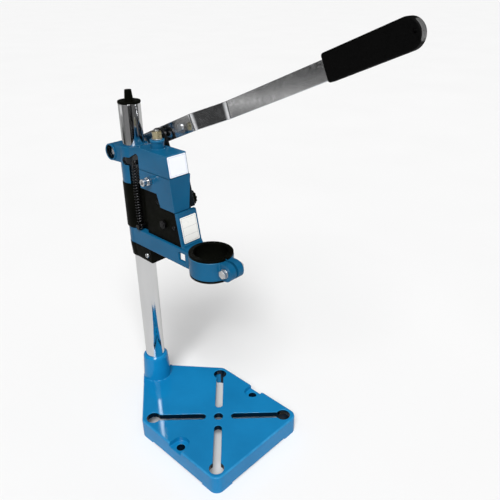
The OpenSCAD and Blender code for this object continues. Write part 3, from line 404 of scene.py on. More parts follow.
# True where two sides of a face cross each other
def crossed(face):
    axis = max(range(3), key=lambda i: abs(face.normal[i]))
    flat = [(vert.co[axis - 2], vert.co[axis - 1]) for vert in face.verts]
    count, limit = len(flat), roundSet["crossBy"]

    def side(a, b, c):
        return (b[0] - a[0]) * (c[1] - a[1]) - (b[1] - a[1]) * (c[0] - a[0])

    for i in range(count):
        a, b = flat[i], flat[(i + 1) % count]
        for j in range(i + 2, count - (i == 0)):
            c, d = flat[j], flat[(j + 1) % count]
            if side(a, b, c) * side(a, b, d) < limit and side(c, d, a) * side(c, d, b) < limit:
                return True
    return False


# True where a face crosses itself, so that its triangles would cover more than the face
def folded(face):
    if len(face.verts) <= roundSet["crossSides"] and crossed(face):
        return True
    spots = [vert.co for vert in face.verts]
    corners = tessellate_polygon([spots])
    cover = sum((spots[b] - spots[a]).cross(spots[c] - spots[a]).length for a, b, c in corners) / 2
    area = face.calc_area()
    return abs(cover - area) > roundSet["foldShare"] * area + roundSet["foldArea"]


# Adds a ring of faces beside each flat's rim, so that a rounding slides squarely across it
def ringFlats(bm, widthOf, zone):
    bm.faces.index_update()
    for region in flatRegions(bm, zone):
        bm.faces.ensure_lookup_table()
        faces = [bm.faces[i] for i in region]
        inside = set(faces)
        rim = [edge for face in faces for edge in face.edges if any(f not in inside for f in edge.link_faces)]
        wide = max([widthOf(edge) for edge in rim], default=0.0) * roundSet["ring"] * mm
        if wide == 0.0 or len({vert for edge in rim for vert in edge.verts}) <= 4:
            continue
        way = faces[0].normal.copy()
        for share in roundSet["shares"]:
            tried = bm.copy()
            tried.faces.ensure_lookup_table()
            picked = [tried.faces[i] for i in region]
            made = bmesh.ops.inset_region(tried, faces=picked, use_boundary=True, use_even_offset=True,
                                          thickness=wide * share, depth=0.0)["faces"]
            tried.normal_update()
            if all(face.normal.dot(way) > roundSet["level"] and face.calc_area() > roundSet["leastArea"]
                   and not folded(face) for face in made + picked):
                layer = tried.faces.layers.float["ring"]
                for face in made:
                    face[layer] = wide * share
                bm.free()
                bm = tried
                break
            tried.free()
    return bm


# True where a rounded mesh stays near the node it came from and no face is turned over or folded
def soundMesh(made, tree, limit):
    if any(tree.find_nearest(vert.co)[3] > limit for vert in made["verts"]):
        return False
    for face in made["faces"]:
        near = tree.find_nearest(face.calc_center_median())
        if face.calc_area() > roundSet["seenArea"] and face.normal.dot(near[1]) < roundSet["turnedOver"]:
            return False
    return not any(folded(face) for face in {face for vert in made["verts"] for face in vert.link_faces})


# Rounds the sharp edges; widthAt gives the width in millimetres for an edge's middle, and a chain of edges
# that can't take it gets a half, a quarter or none
def roundEdges(bm, widthAt, segments=3, zone=lambda face: 0):
    sharp = math.radians(roundSet["sharpFrom"])
    bm.faces.layers.int.new("strip")
    bm.faces.layers.float.new("ring")
    bm.edges.layers.int.new("chain")
    tree = BVHTree.FromBMesh(bm)

    def widthOf(edge):
        if len(edge.link_faces) != 2 or edge.calc_face_angle(0.0) < sharp:
            return 0.0
        return widthAt(middleOf(edge))

    bm = ringFlats(bm, widthOf, zone)
    chain = bm.edges.layers.int["chain"]
    ring = bm.faces.layers.float["ring"]

    def roomBeside(face, edge):
        if face[ring] > 0:
            return roundSet["ringRoom"] * face[ring]
        return roundSet["faceRoom"] * face.calc_area() / max(edge.calc_length(), 1e-9)

    widths = {}
    for edge in bm.edges:
        wanted = widthOf(edge)
        room = min([roomBeside(face, edge) for face in edge.link_faces]) if wanted else 0.0
        for share in roundSet["shares"]:
            if wanted and wanted * share * mm <= room:
                widths[edge] = wanted * share
                break

    def onwards(edge):
        for vert in edge.verts:
            near = [e for e in vert.link_edges if e in widths]
            if len(near) == 2 and widths[near[0]] == widths[near[1]]:
                yield from near

    chains = [(widths[run[0]], run) for run in joined(widths, onwards)]
    for i, (width, run) in enumerate(chains):
        for edge in run:
            edge[chain] = i + 1

    def rounded(source, picked, width):
        tried = source.copy()
        layer = tried.edges.layers.int["chain"]
        chosen = [e for e in tried.edges if e[layer] in picked and e.calc_face_angle(0.0) > sharp]
        made = bevel(tried, chosen, width, segments, slide=True)
        tried.normal_update()
        if chosen and soundMesh(made, tree, roundSet["stray"] * width * mm):
            layer = tried.faces.layers.int["strip"]
            for face in made["faces"]:
                face[layer] = 1
            return tried
        tried.free()
        return None

    plan = {}
    for i, (width, run) in enumerate(chains):
        for share in roundSet["shares"]:
            tried = rounded(bm, {i + 1}, width * share)
            if tried:
                tried.free()
                plan.setdefault(width * share, []).append(i + 1)
                break
    for width in sorted(plan, reverse=True):
        together = rounded(bm, set(plan[width]), width)
        if together:
            bm.free()
            bm = together
            continue
        for i in plan[width]:
            alone = rounded(bm, {i}, width)
            if alone:
                bm.free()
                bm = alone
    strip = bm.faces.layers.int["strip"]
    # Marks convex rounded edges for paler paint, partly wear and partly a painted highlight
    wearAndHighlight = bm.verts.layers.float.new("edgeWearAndHighlight")
    for vert in bm.verts:
        around = [edge.other_vert(vert).co for edge in vert.link_edges]
        if around and all(face[strip] for face in vert.link_faces):
            middle = sum(around, Vector()) / len(around)
            vert[wearAndHighlight] = 1.0 if (vert.co - middle).dot(vert.normal) > 0 else 0.0
    print("  ", len(chains), "chains,", sum(len(v) for v in plan.values()), "rounded")
    return bm


def plainMesh(bm, name, smooth=36):
    mesh = meshFrom(bm, name)
    for face in mesh.polygons:
        face.use_smooth = True
    mesh.set_sharp_from_angle(angle=math.radians(smooth))
    return appliedMesh(mesh, name, weightNormals)


def weightNormals(piece):
    modifier = piece.modifiers.new("weights", "WEIGHTED_NORMAL")
    modifier.keep_sharp, modifier.weight, modifier.mode = True, 60, "FACE_AREA"


# Adds modifiers to a scratch object and gives back the evaluated result as a plain mesh
def appliedMesh(mesh, name, addModifiers):
    scratch = placed(name + "Scratch", mesh)
    addModifiers(scratch)
    depsgraph = bpy.context.evaluated_depsgraph_get()
    made = bpy.data.meshes.new_from_object(scratch.evaluated_get(depsgraph), preserve_all_data_layers=True,
                                           depsgraph=depsgraph)
    made.name = name
    bpy.data.objects.remove(scratch)
    bpy.data.meshes.remove(mesh)
    return made


def addPiece(name, mesh, finish, body, slot, *replaced):
    piece = placed(name, mesh)
    mesh.materials.clear()
    mesh.materials.append(finish)
    if body:
        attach(piece, body)
    if replaced:
        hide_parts(*replaced)
    return piece


# A CAD node shown with its edges rounded
def dress(node, width, segments=3, finish=None, shape=None, zone=lambda face: 0, keep=None):
    bm = copiedNode(node, keep)
    if shape:
        shape(bm)
    bm = roundEdges(bm, width if callable(width) else (lambda mid: width), segments, zone)
    mesh = plainMesh(bm, node + "Shown")
    return addPiece(node + "Shown", mesh, finish or finishes[slotOf[node]], bodyOf[node], slotOf[node], node)


# Solid of revolution round an axis through start along way; profile gives pairs of distance along
# and radius in millimetres
def latheMesh(bm, start, way, profile, sides=32):
    way = Vector(way).normalized()
    side = way.orthogonal().normalized()
    other = way.cross(side)
    rings = []
    for along, radius in profile:
        centre = Vector(start) + way * along
        if radius < 1e-6:
            rings.append([bm.verts.new(centre * mm)])
            continue
        rings.append([bm.verts.new((centre + radius * (math.cos(a) * side + math.sin(a) * other)) * mm)
                      for a in (2 * math.pi * k / sides for k in range(sides))])
    for low, high in zip(rings, rings[1:]):
        for k in range(sides):
            n = (k + 1) % sides
            if len(low) == 1 and len(high) == 1:
                continue
            if len(low) == 1:
                bm.faces.new((low[0], high[n], high[k]))
            elif len(high) == 1:
                bm.faces.new((low[k], low[n], high[0]))
            else:
                bm.faces.new((low[k], low[n], high[n], high[k]))
    bmesh.ops.recalc_face_normals(bm, faces=bm.faces)


# Joins rings of points by sides, and closes the first and the last
def closeRings(bm, rings):
    for low, high in zip(rings, rings[1:]):
        for k in range(len(low)):
            n = (k + 1) % len(low)
            bm.faces.new((low[k], low[n], high[n], high[k]))
    bm.faces.new(rings[0])
    bm.faces.new(rings[-1])


# Cuts a shape out of a mesh
def cutWith(mesh, name, buildCutter):
    bm = bmesh.new()
    buildCutter(bm)
    bmesh.ops.recalc_face_normals(bm, faces=bm.faces)
    cutterMesh = meshFrom(bm, name + "Cutter")
    cutter = placed(name + "Cutter", cutterMesh)

    def addCut(piece):
        modifier = piece.modifiers.new("cut", "BOOLEAN")
        modifier.operation, modifier.solver, modifier.object = "DIFFERENCE", "EXACT", cutter

    made = appliedMesh(mesh, name, addCut)
    bpy.data.objects.remove(cutter)
    bpy.data.meshes.remove(cutterMesh)
    return made


# Floor, one wide soft light and cards that only the shiny parts see, as a studio lays round chrome.
# A card is a sector round the column: azimuth in degrees, distance in metres, tone
stageSet = {"floorHalf": 40.0, "floorTone": (0.86, 0.86, 0.86, 1.0), "floorShade": 0.985,
            "floorRough": 0.9, "floorGloss": 0.1, "world": (0.04, 0.5), "overhead": (0.6, 0.9),
            "horizon": 0.7, "horizonTo": 0.14, "backdrop": 0.9, "columnAt": (0.0, 0.14), "cardZ": 0.003,
            "cardStep": 6, "cardTint": (1.0, 0.99, 0.97),
            "sun": {"azimuth": 222.0, "elevation": 50.0, "spread": 30.0, "strength": 3.6},
            "cards": [((0, 360), (0.03, 0.6), 0.62), ((60, 120), (1.3, 2.6), 0.34),
                      ((170, 215), (1.3, 2.6), 0.16), ((215, 257), (1.3, 2.6), 0.0),
                      ((257, 330), (1.3, 2.6), 0.08), ((330, 420), (1.3, 2.6), 0.45),
                      ((120, 150), (1.3, 1.66), 0.04), ((120, 150), (1.66, 1.9), 0.22),
                      ((120, 150), (1.9, 2.13), 0.66), ((120, 150), (2.13, 2.25), 0.2),
                      ((120, 150), (2.25, 2.5), 0.1), ((120, 150), (2.5, 2.8), 0.2),
                      ((150, 170), (1.3, 2.8), 0.14), ((120, 170), (2.8, 5.6), 0.03)]}


def cardMesh(name, s, azimuths, distances):
    bm = bmesh.new()
    start, end = azimuths
    x, y = s["columnAt"]
    steps = max(2, int((end - start) / s["cardStep"]))
    turns = [math.radians(start + (end - start) * k / steps) for k in range(steps + 1)]
    rings = [[bm.verts.new((x + r * math.cos(a), y + r * math.sin(a), s["cardZ"])) for a in turns]
             for r in distances]
    for k in range(steps):
        bm.faces.new((rings[0][k], rings[1][k], rings[1][k + 1], rings[0][k + 1]))
    return meshFrom(bm, name)


# Brighter overhead and in a band along the horizon for the light, but a plain pale backdrop for the camera
def softRoom(s):
    world = bpy.data.worlds.new("softRoom")
    world.use_nodes = True
    tree = world.node_tree
    tree.nodes.clear()
    make, link = tree.nodes.new, tree.links.new
    out, mix, rays = make("ShaderNodeOutputWorld"), make("ShaderNodeMixShader"), make("ShaderNodeLightPath")
    lit, seen = make("ShaderNodeBackground"), make("ShaderNodeBackground")
    coords, split = make("ShaderNodeTexCoord"), make("ShaderNodeSeparateXYZ")
    link(coords.outputs["Generated"], split.inputs["Vector"])
    overhead = spanOf(tree, split.outputs["Z"], *s["world"], *s["overhead"])
    horizon = spanOf(tree, split.outputs["Z"], s["horizon"], 0.0, 0.0, s["horizonTo"])
    link(mathOf(tree, "ADD", overhead, horizon), lit.inputs["Strength"])
    for part in (lit, seen):
        part.inputs["Color"].default_value = (1.0, 1.0, 1.0, 1.0)
    seen.inputs["Strength"].default_value = s["backdrop"]
    link(rays.outputs["Is Camera Ray"], mix.inputs["Fac"])
    link(lit.outputs["Background"], mix.inputs[1])
    link(seen.outputs["Background"], mix.inputs[2])
    link(mix.outputs["Shader"], out.inputs["Surface"])
    return world


def buildStage(s):
    half = s["floorHalf"]
    bm = bmesh.new()
    corners = ((-1, -1), (1, -1), (1, 1), (-1, 1))
    bm.faces.new([bm.verts.new((x * half, y * half, 0.0)) for x, y in corners])
    floor = placed("floor", meshFrom(bm, "floor"))
    material, tree, shader, coords = newFinish("paleFloor")
    shade = [c * s["floorShade"] for c in s["floorTone"][:3]] + [1.0]
    colorTo(tree, shader, rampOf(tree, noiseOf(tree, coords, 3, 2), [(0.3, shade), (0.7, s["floorTone"])]))
    shader.inputs["Roughness"].default_value = s["floorRough"]
    shader.inputs["Specular IOR Level"].default_value = s["floorGloss"]
    floor.data.materials.append(material)
    for i, (azimuths, distances, tone) in enumerate(s["cards"]):
        name = f"reflectorCard{i}"
        card = placed(name, cardMesh(name, s, azimuths, distances))
        material, tree, shader, coords = newFinish(name)
        shader.inputs["Base Color"].default_value = [tone * share for share in s["cardTint"]] + [1.0]
        shader.inputs["Specular IOR Level"].default_value = 0.0
        card.data.materials.append(material)
        card.visible_camera = card.visible_diffuse = card.visible_shadow = False
    sun = s["sun"]
    az, el = math.radians(sun["azimuth"]), math.radians(sun["elevation"])
    data = bpy.data.lights.new("softSun", "SUN")
    data.energy, data.angle = sun["strength"], math.radians(sun["spread"])
    light = placed("softSun", data)
    toSun = Vector((math.cos(el) * math.cos(az), math.cos(el) * math.sin(az), math.sin(el)))
    light.location = toSun * 3
    light.rotation_euler = (-toSun).to_track_quat("-Z", "Y").to_euler()
    scene.world = softRoom(s)


buildStage(stageSet)
print("stage set")


# Base casting: soft table edge, smaller radii in the slots, fillet at the foot of the boss
baseSet = {"edge": 2.2, "skirtFoot": 0.6, "slot": 0.7, "bossFoot": 2.6, "bossRim": 1.2, "boreRim": 0.3,
           "side": 161.0, "cornerR": 12.0, "table": 28.0, "under": 20.0, "columnAt": 140.0, "bossR": 21.0,
           "boreR": 14.6, "bossFrom": 58.0, "padR": 21.5, "splitAt": (112.0, 138.0), "slantFrom": 60.0,
           "benchHole": (70.5, 6.1), "pocketHalf": 16.0, "near": 0.05, "underNear": 0.6, "footNear": 0.4,
           "edgeIn": 1.2, "cornerIn": 1.5, "slantIn": 0.6, "skirtBelow": 0.5, "shadeFrom": 0.6, "wallIn": 4.0,
           "screwEdge": 0.2}


def baseWidth(mid):
    s = baseSet
    x, y, z = mid
    fromColumn = math.hypot(x, y - s["columnAt"])
    onTable = abs(z - s["table"]) < s["near"]
    if onTable and y > s["splitAt"][1] or abs(z - s["under"]) < s["underNear"]:
        return 0.0
    if onTable:
        if abs(fromColumn - s["bossR"]) < s["footNear"]:
            return s["bossFoot"]
        outer = max(abs(x), -y) > s["side"] / 2 - s["edgeIn"]
        cornerAt = s["side"] / 2 - s["cornerR"]
        fromCorner = math.hypot(max(abs(x) - cornerAt, 0), max(-y - cornerAt, 0))
        corner = fromCorner > s["cornerR"] - s["cornerIn"]
        rear = y > s["slantFrom"] and slantOut(x, y) > -s["slantIn"]
        return s["edge"] if outer or corner or rear else s["slot"]
    if z > s["bossFrom"]:
        return s["bossRim"] if fromColumn > s["boreR"] else s["boreRim"]
    return s["skirtFoot"] if z < s["table"] - s["skirtBelow"] else s["slot"]


# How far a point is outside the table's slanting rear edges
def slantOut(x, y):
    s = baseSet
    cornerAt = s["side"] / 2 - s["cornerR"]
    d = Vector((-cornerAt, s["columnAt"] - cornerAt))
    far = d.length
    lean = (s["cornerR"] - s["padR"]) / far
    level = math.sqrt(1 - lean * lean)
    n = Vector((d.y / far * level + d.x / far * lean, -d.x / far * level + d.y / far * lean))
    return (Vector((abs(x), y)) - Vector((cornerAt, cornerAt))).dot(n) - s["cornerR"]


# The flat beside and behind the boss is a thin rim, so it is taken apart from the table in front
def splitBase(bm):
    for level in baseSet["splitAt"]:
        bmesh.ops.bisect_plane(bm, geom=bm.verts[:] + bm.edges[:] + bm.faces[:], dist=1e-7,
                               plane_co=(0, level * mm, 0), plane_no=(0, 1, 0))


# Edges of the table's underside and of the feet stay as they come
def baseKeep(mid):
    return min(abs(mid.z - baseSet["under"]), mid.z) < baseSet["near"]


def baseZone(face):
    return sum(face.calc_center_median().y > level * mm for level in baseSet["splitAt"])


# Paint in the slots and holes is nearly black, as little light reaches it
def shadeSlots(piece, s):
    piece.data.materials.append(slotShade)
    holeAt, holeR = s["benchHole"]
    for face in piece.data.polygons:
        x, y, z = face.center / mm
        upright = abs(face.normal.z) < 0.3
        inner = max(abs(x), abs(y)) < s["side"] / 2 - s["wallIn"] and slantOut(x, y) < -s["wallIn"]
        pocket = abs(x) > holeAt - s["pocketHalf"] and abs(y) < s["pocketHalf"]
        hole = math.hypot(abs(x) - holeAt, y) < holeR
        if upright and z < s["table"] - s["shadeFrom"] and (hole or inner and not pocket):
            face.material_index = 1


basePiece = dress("base_plate", baseWidth, 4, shape=splitBase, zone=baseZone, keep=baseKeep)
shadeSlots(basePiece, baseSet)
dress("column_set_screw", baseSet["screwEdge"])
print("base done")


# Column and its cap
columnSet = {"tubeEdge": 0.3, "capEdge": 0.9}
dress("column_tube", columnSet["tubeEdge"])
dress("column_cap", columnSet["capEdge"], 4)
print("column done")


# Head casting: fine radius at the parting step, larger ones on the outside
headSet = {"outer": 1.1, "ledge": 0.22, "ledgeZ": 376.5, "ledgeNear": 1.3, "ledgeBack": 139.0,
           "stepNear": 0.3, "hollow": (13.8, 46.0, 109.0, 398.5), "channel": (110.5, 141.0),
           "channelTop": 395.0, "channelIn": -11.3, "channelDeep": (-15.2, -16.4), "near": 0.2,
           "columnAt": 140.0, "sleeveIn": 18.2, "sleeveFrom": 126.0, "pivot": (166.7, 387.6), "socketR": 9.0,
           "socket": (-18.8, -16.5, -10.0), "front": (44.5, 335.0, 7.84), "corner": (1.5, 8.0, 5.0)}


def headWidth(mid):
    s = headSet
    x, y, z = mid
    half, front, rear, top = s["hollow"]
    if abs(z - s["ledgeZ"]) < s["ledgeNear"] and y < s["ledgeBack"]:
        return s["ledge"]
    if abs(x) < half and front < y < rear and z < top:
        return 0.0
    return s["outer"]


# Painted shade: the spring's channel, the pivot socket and the set-back corner under the ledge are painted
# nearly black, and the step at the ledge is painted the same dark as a thin line
def shadeHollows(piece, s):
    piece.data.materials.append(channelShade)
    channelFront, channelRear = s["channel"]
    channelFloor, channelLip = s["channelDeep"]
    near = s["near"]
    socketOut, socketFloor, socketIn = s["socket"]
    frontY, frontZ, frontLean = s["front"]
    cornerNear, cornerFar, cornerX = s["corner"]
    for face in piece.data.polygons:
        x, y, z = face.center / mm
        way = face.normal
        between = channelFront - near < y < channelRear + near
        inChannel = between and z < s["channelTop"] + near and x < s["channelIn"]
        besideSleeve = y > s["sleeveFrom"] and math.hypot(x, y - s["columnAt"]) < s["sleeveIn"]
        deep = x > channelFloor or besideSleeve or (abs(way.x) < 0.5 and x > channelLip)
        fromPin = math.hypot(y - s["pivot"][0], z - s["pivot"][1])
        wall = abs(fromPin - s["socketR"]) < near and abs(way.x) < 0.5
        floor = fromPin < s["socketR"] and way.x < -0.9 and x > socketFloor
        socket = socketOut < x < socketIn and (wall or floor)
        step = abs(z - s["ledgeZ"]) < s["stepNear"] and way.z > 0.5 and y < s["sleeveFrom"]
        flank = frontY + (z - frontZ) * math.tan(math.radians(frontLean))
        corner = x > cornerX and cornerNear < y - flank < cornerFar and way.y < -0.7 and z < s["ledgeZ"]
        if (inChannel and deep) or socket or corner or step:
            face.material_index = 1


shadeHollows(dress("head_casting", headWidth), headSet)
headFittings = {"head_set_screw": 0.2, "lever_pivot_pin": 2.0, "pivot_ring": 0.2, "pivot_spacer": 0.3,
                "pivot_washer": 0.3, "pivot_nut": 0.4, "guide_rod": 0.3, "rod_washer": 0.3, "rod_nut": 0.5,
                "rod_lock_screw": 0.4, "rod_lock_nut": 0.4, "spring_hook_pin": 0.3, "lock_knob": 0.5,
                "lock_stud": 0.4}
for node, width in headFittings.items():
    dress(node, width)
print("head done")


# Return spring: coils and two hooks swept along one path by a node tree
springSet = {"x": -16.0, "y": 120.0, "coilLow": 302.0, "coilHigh": 375.0, "turns": 19, "radius": 3.3,
             "wire": 0.7, "hookR": 3.3, "hookEnd": 286, "hookStep": 12, "pinZ": 382.0, "screwZ": 295.0,
             "steps": 24, "rise": 5, "easeTimes": 4, "easeReach": 4, "wireSides": 10}


def springPath(s):
    def hook(zPin, way):
        return [(0.0, s["hookR"] * math.cos(a), zPin + way * s["hookR"] * math.sin(a))
                for a in (math.radians(d) for d in range(0, s["hookEnd"], s["hookStep"]))]

    def stem(low, high):
        return [(0.0, s["hookR"], low + (high - low) * k / s["rise"]) for k in range(1, s["rise"])]

    coil = []
    total = s["turns"] * s["steps"]
    for i in range(total + 1):
        a = math.pi / 2 + 2 * math.pi * i / s["steps"]
        z = s["coilLow"] + (s["coilHigh"] - s["coilLow"]) * i / total
        coil.append((s["radius"] * math.cos(a), s["radius"] * math.sin(a), z))
    lowHook, highHook = hook(s["screwZ"], -1), hook(s["pinZ"], 1)
    down, up = stem(s["coilLow"], s["screwZ"]), stem(s["coilHigh"], s["pinZ"])
    path = lowHook[::-1] + down[::-1] + coil + up + highHook
    bends = (len(lowHook) + s["rise"] - 1, len(path) - len(highHook) - s["rise"])
    points = [Vector(p) for p in path]
    # Eases the wire from the coil into the hooks
    for turn in range(s["easeTimes"]):
        for bend in bends:
            for i in range(bend - s["easeReach"], bend + s["easeReach"] + 1):
                points[i] = (points[i - 1] + 2 * points[i] + points[i + 1]) / 4
    return [(p + Vector((s["x"], s["y"], 0.0))) * mm for p in points]


# Node tree with geometry in and out, and with the inputs given
def newTree(name, inputs):
    tree = bpy.data.node_groups.new(name, "GeometryNodeTree")
    face = tree.interface
    face.new_socket("Geometry", in_out="INPUT", socket_type="NodeSocketGeometry")
    for key, kind in inputs.items():
        face.new_socket(key, in_out="INPUT", socket_type=kind)
    face.new_socket("Geometry", in_out="OUTPUT", socket_type="NodeSocketGeometry")
    return tree


# Links the first output of each node to the first input of the next
def inLine(tree, *row):
    for first, second in zip(row, row[1:]):
        tree.links.new(first.outputs[0], second.inputs[0])


def sweepTree(finish):
    tree = newTree("sweptWire", {"wireRadius": "NodeSocketFloat", "wireSides": "NodeSocketInt"})
    make, link = tree.nodes.new, tree.links.new
    start, end = make("NodeGroupInput"), make("NodeGroupOutput")
    curve, ring = make("GeometryNodeMeshToCurve"), make("GeometryNodeCurvePrimitiveCircle")
    sweep, smooth = make("GeometryNodeCurveToMesh"), make("GeometryNodeSetShadeSmooth")
    real, dye = make("GeometryNodeRealizeInstances"), make("GeometryNodeSetMaterial")
    sweep.inputs["Fill Caps"].default_value = True
    dye.inputs["Material"].default_value = finish
    link(start.outputs["wireRadius"], ring.inputs["Radius"])
    link(start.outputs["wireSides"], ring.inputs["Resolution"])
    link(ring.outputs["Curve"], sweep.inputs["Profile Curve"])
    inLine(tree, start, curve, sweep, smooth, real, dye, end)
    return tree


def setInputs(modifier, values):
    for item in modifier.node_group.interface.items_tree:
        if item.in_out == "INPUT" and item.name in values:
            modifier[item.identifier] = values[item.name]


wireTree = sweepTree(finishes["spring_wire"])


def sweptMesh(points, name, radius, sides):
    path = bpy.data.meshes.new(name + "Path")
    path.from_pydata([tuple(p) for p in points], [(i, i + 1) for i in range(len(points) - 1)], [])

    def addSweep(piece):
        modifier = piece.modifiers.new("sweep", "NODES")
        modifier.node_group = wireTree
        setInputs(modifier, {"wireRadius": radius * mm, "wireSides": sides})

    return appliedMesh(path, name, addSweep)


def hangSpring(s):
    name = "returnSpringShown"
    mesh = sweptMesh(springPath(s), name, s["wire"], s["wireSides"])
    piece = addPiece(name, mesh, finishes["spring_wire"], None, "spring_wire", "return_spring")
    high, low = ((s["x"] * mm, s["y"] * mm, s[level] * mm) for level in ("coilHigh", "coilLow"))
    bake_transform(piece, "head", "carriage", start=high, end=low)
    return mesh


springMesh = hangSpring(springSet)
print("spring done:", len(springMesh.polygons), "faces")


# Lever: bent flat bar, grip, rivet and drive pin
leverSet = {"pivot": (166.7, 387.6), "angle": 23.5, "bends": (123.0, 158.0), "bendRound": 5.0, "bendSteps": 6,
            "bendNear": 3.0, "creaseFrom": 10.0, "creaseTurn": 0.3, "edge": 0.5, "bush": 0.2, "rivet": 0.9,
            "pin": 0.4}


# Place of a point that is u along the lever at rest and v above it
def onLever(u, v, x):
    a = math.radians(leverSet["angle"])
    y, z = leverSet["pivot"]
    return Vector((x, y - u * math.cos(a) + v * math.sin(a), z + u * math.sin(a) + v * math.cos(a)))


def alongLever(mid):
    a = math.radians(leverSet["angle"])
    y, z = leverSet["pivot"]
    return (y - mid.y) * math.cos(a) + (mid.z - z) * math.sin(a)


def bendBar(bm):
    s = leverSet
    creases = []
    for edge in bm.edges:
        u = alongLever(middleOf(edge))
        atBend = any(abs(u - bend) < s["bendNear"] for bend in s["bends"])
        long = edge.calc_length() / mm > s["creaseFrom"]
        if atBend and long and edge.calc_face_angle(0.0) > s["creaseTurn"]:
            creases.append(edge)
    print("lever creases:", len(creases))
    bevel(bm, creases, s["bendRound"], s["bendSteps"])


dress("lever_bar", leverSet["edge"], 2, leverChrome, bendBar)
for node, key in (("lever_bush", "bush"), ("lever_rivet", "rivet"), ("drive_pin", "pin")):
    dress(node, leverSet[key])

gripSet = {"start": 311.0, "end": 417.0, "half": 14.5, "up": 1.5, "thick": 11.0, "x": 56.0, "round": 2.4,
           "corner": 3.0, "leastCorner": 0.4, "cornerStep": 15, "endStep": 6, "straightSteps": 12,
           "holeAt": 411.0, "holeR": 2.2, "holeLong": 40, "smooth": 50, "highlightShare": 0.75, "highlightPast": 0.5}


# Outline of the grip in the lever's plane, moved inwards by inset
def gripOutline(s, inset):
    half, corner = s["half"] - inset, max(s["corner"] - inset, s["leastCorner"])
    low = s["start"] + inset
    centre = s["end"] - s["half"]
    quarter = [math.radians(d) for d in range(0, 91, s["cornerStep"])]
    turn = [math.radians(d) for d in range(0, 181, s["endStep"])]
    steps = s["straightSteps"]
    straight = [low + (centre - low) * k / steps for k in range(1, steps)]
    foot = low + corner
    points = [(foot - corner * math.sin(a), -half + corner - corner * math.cos(a)) for a in reversed(quarter)]
    points += [(u, -half) for u in straight]
    points += [(centre + half * math.sin(a), -half * math.cos(a)) for a in turn]
    points += [(u, half) for u in reversed(straight)]
    points += [(foot - corner * math.sin(a), half - corner + corner * math.cos(a)) for a in quarter]
    return points


def buildGrip(s):
    bm = bmesh.new()
    flat = s["thick"] / 2 - s["round"]
    levels = [(s["round"] * (1 - math.cos(a)), -flat - s["round"] * math.sin(a))
              for a in (math.radians(d) for d in range(90, -1, -s["cornerStep"]))]
    levels += [(inset, -x) for inset, x in reversed(levels)]
    rings = [[bm.verts.new(onLever(u, v + s["up"], s["x"] + x) * mm) for u, v in gripOutline(s, inset)]
             for inset, x in levels]
    closeRings(bm, rings)
    bmesh.ops.recalc_face_normals(bm, faces=bm.faces)
    mesh = meshFrom(bm, "gripBody")

    def hole(cutter):
        long, r = s["holeLong"], s["holeR"]
        start = onLever(s["holeAt"], s["up"], s["x"] - long / 2)
        latheMesh(cutter, start, (1, 0, 0), [(0, 0), (0, r), (long, r), (long, 0)])

    mesh = cutWith(mesh, "gripHole", hole)
    bm = bmesh.new()
    bm.from_mesh(mesh)
    bpy.data.meshes.remove(mesh)
    name = "leverGripShown"
    return addPiece(name, plainMesh(bm, name, s["smooth"]), finishes["grip_rubber"], "lever", "grip_rubber",
                    "lever_grip")


# The edge band round the grip's end is smoother and glossier, and painted paler as a highlight
def paintEndHighlight(piece, s):
    piece.data.materials.append(gripEndHighlight)
    pastHole = s["holeAt"] + s["holeR"] + s["highlightPast"]
    highlightFrom = max(s["end"] - s["half"] * s["highlightShare"], pastHole)
    for face in piece.data.polygons:
        if abs(face.normal.x) < 0.5 and alongLever(face.center / mm) > highlightFrom:
            face.material_index = 1


paintEndHighlight(buildGrip(gripSet), gripSet)
print("lever done")


# Carriage: casting, guide, plates, drive plate and fasteners
carriageSet = {"columnAt": 140.0, "boreR": 15.5, "taper": {"foot": 245.2, "middle": 130.0, "in": 1.8}}
carriageEdges = {"carriage_casting": 0.9, "lower_bush": 1.2, "guide_body": 0.7, "rod_bush": 0.2,
                 "drive_plate": 0.4, "side_plate_left": 0.35, "side_plate_right": 0.35, "drive_spacers": 0.3,
                 "drive_bolts": 0.4, "drive_bolt_nut": 0.4, "spring_screw": 0.6, "collar_liner": 0.5,
                 "collar_bolt": 0.4, "collar_nut": 0.4, "collar_washers": 0.25}


# The lower bush narrows a little towards its foot
def taperBush(bm):
    s = carriageSet
    taper = s["taper"]
    for vert in bm.verts:
        x, y, z = vert.co / mm
        if z < taper["foot"] and math.hypot(x, y - s["columnAt"]) > s["boreR"]:
            way = Vector((x, y - taper["middle"])).normalized() * taper["in"] * mm
            vert.co.x -= way.x
            vert.co.y -= way.y


for node, width in carriageEdges.items():
    dress(node, width, shape=taperBush if node == "lower_bush" else None)
print("carriage done")


# Round screw heads with a cross recess, set on their seats by a node tree
screwSet = {"side_plate_screws": {"radius": 3.0, "height": 1.6, "recess": 0.9, "blade": 0.8, "rows": 2},
            "bush_screws": {"radius": 3.5, "height": 2.5, "recess": 1.3, "blade": 1.0, "rows": 1}}
screwShape = {"sunk": 0.4, "rim": 0.35, "crown": 0.45, "cross": 0.55, "domeStep": 15}


# Seats of the screws, from the corners of their node's box
def screwSeats(node, s):
    low, high = (Vector(corner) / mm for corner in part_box(node))
    r, h, rows = s["radius"], s["height"], s["rows"]
    spots = [(high.y - r, high.z - r), (low.y + r, low.z + r)][:rows]
    return [((side * (high.x - h), y, z), side) for y, z in spots for side in (-1, 1)]


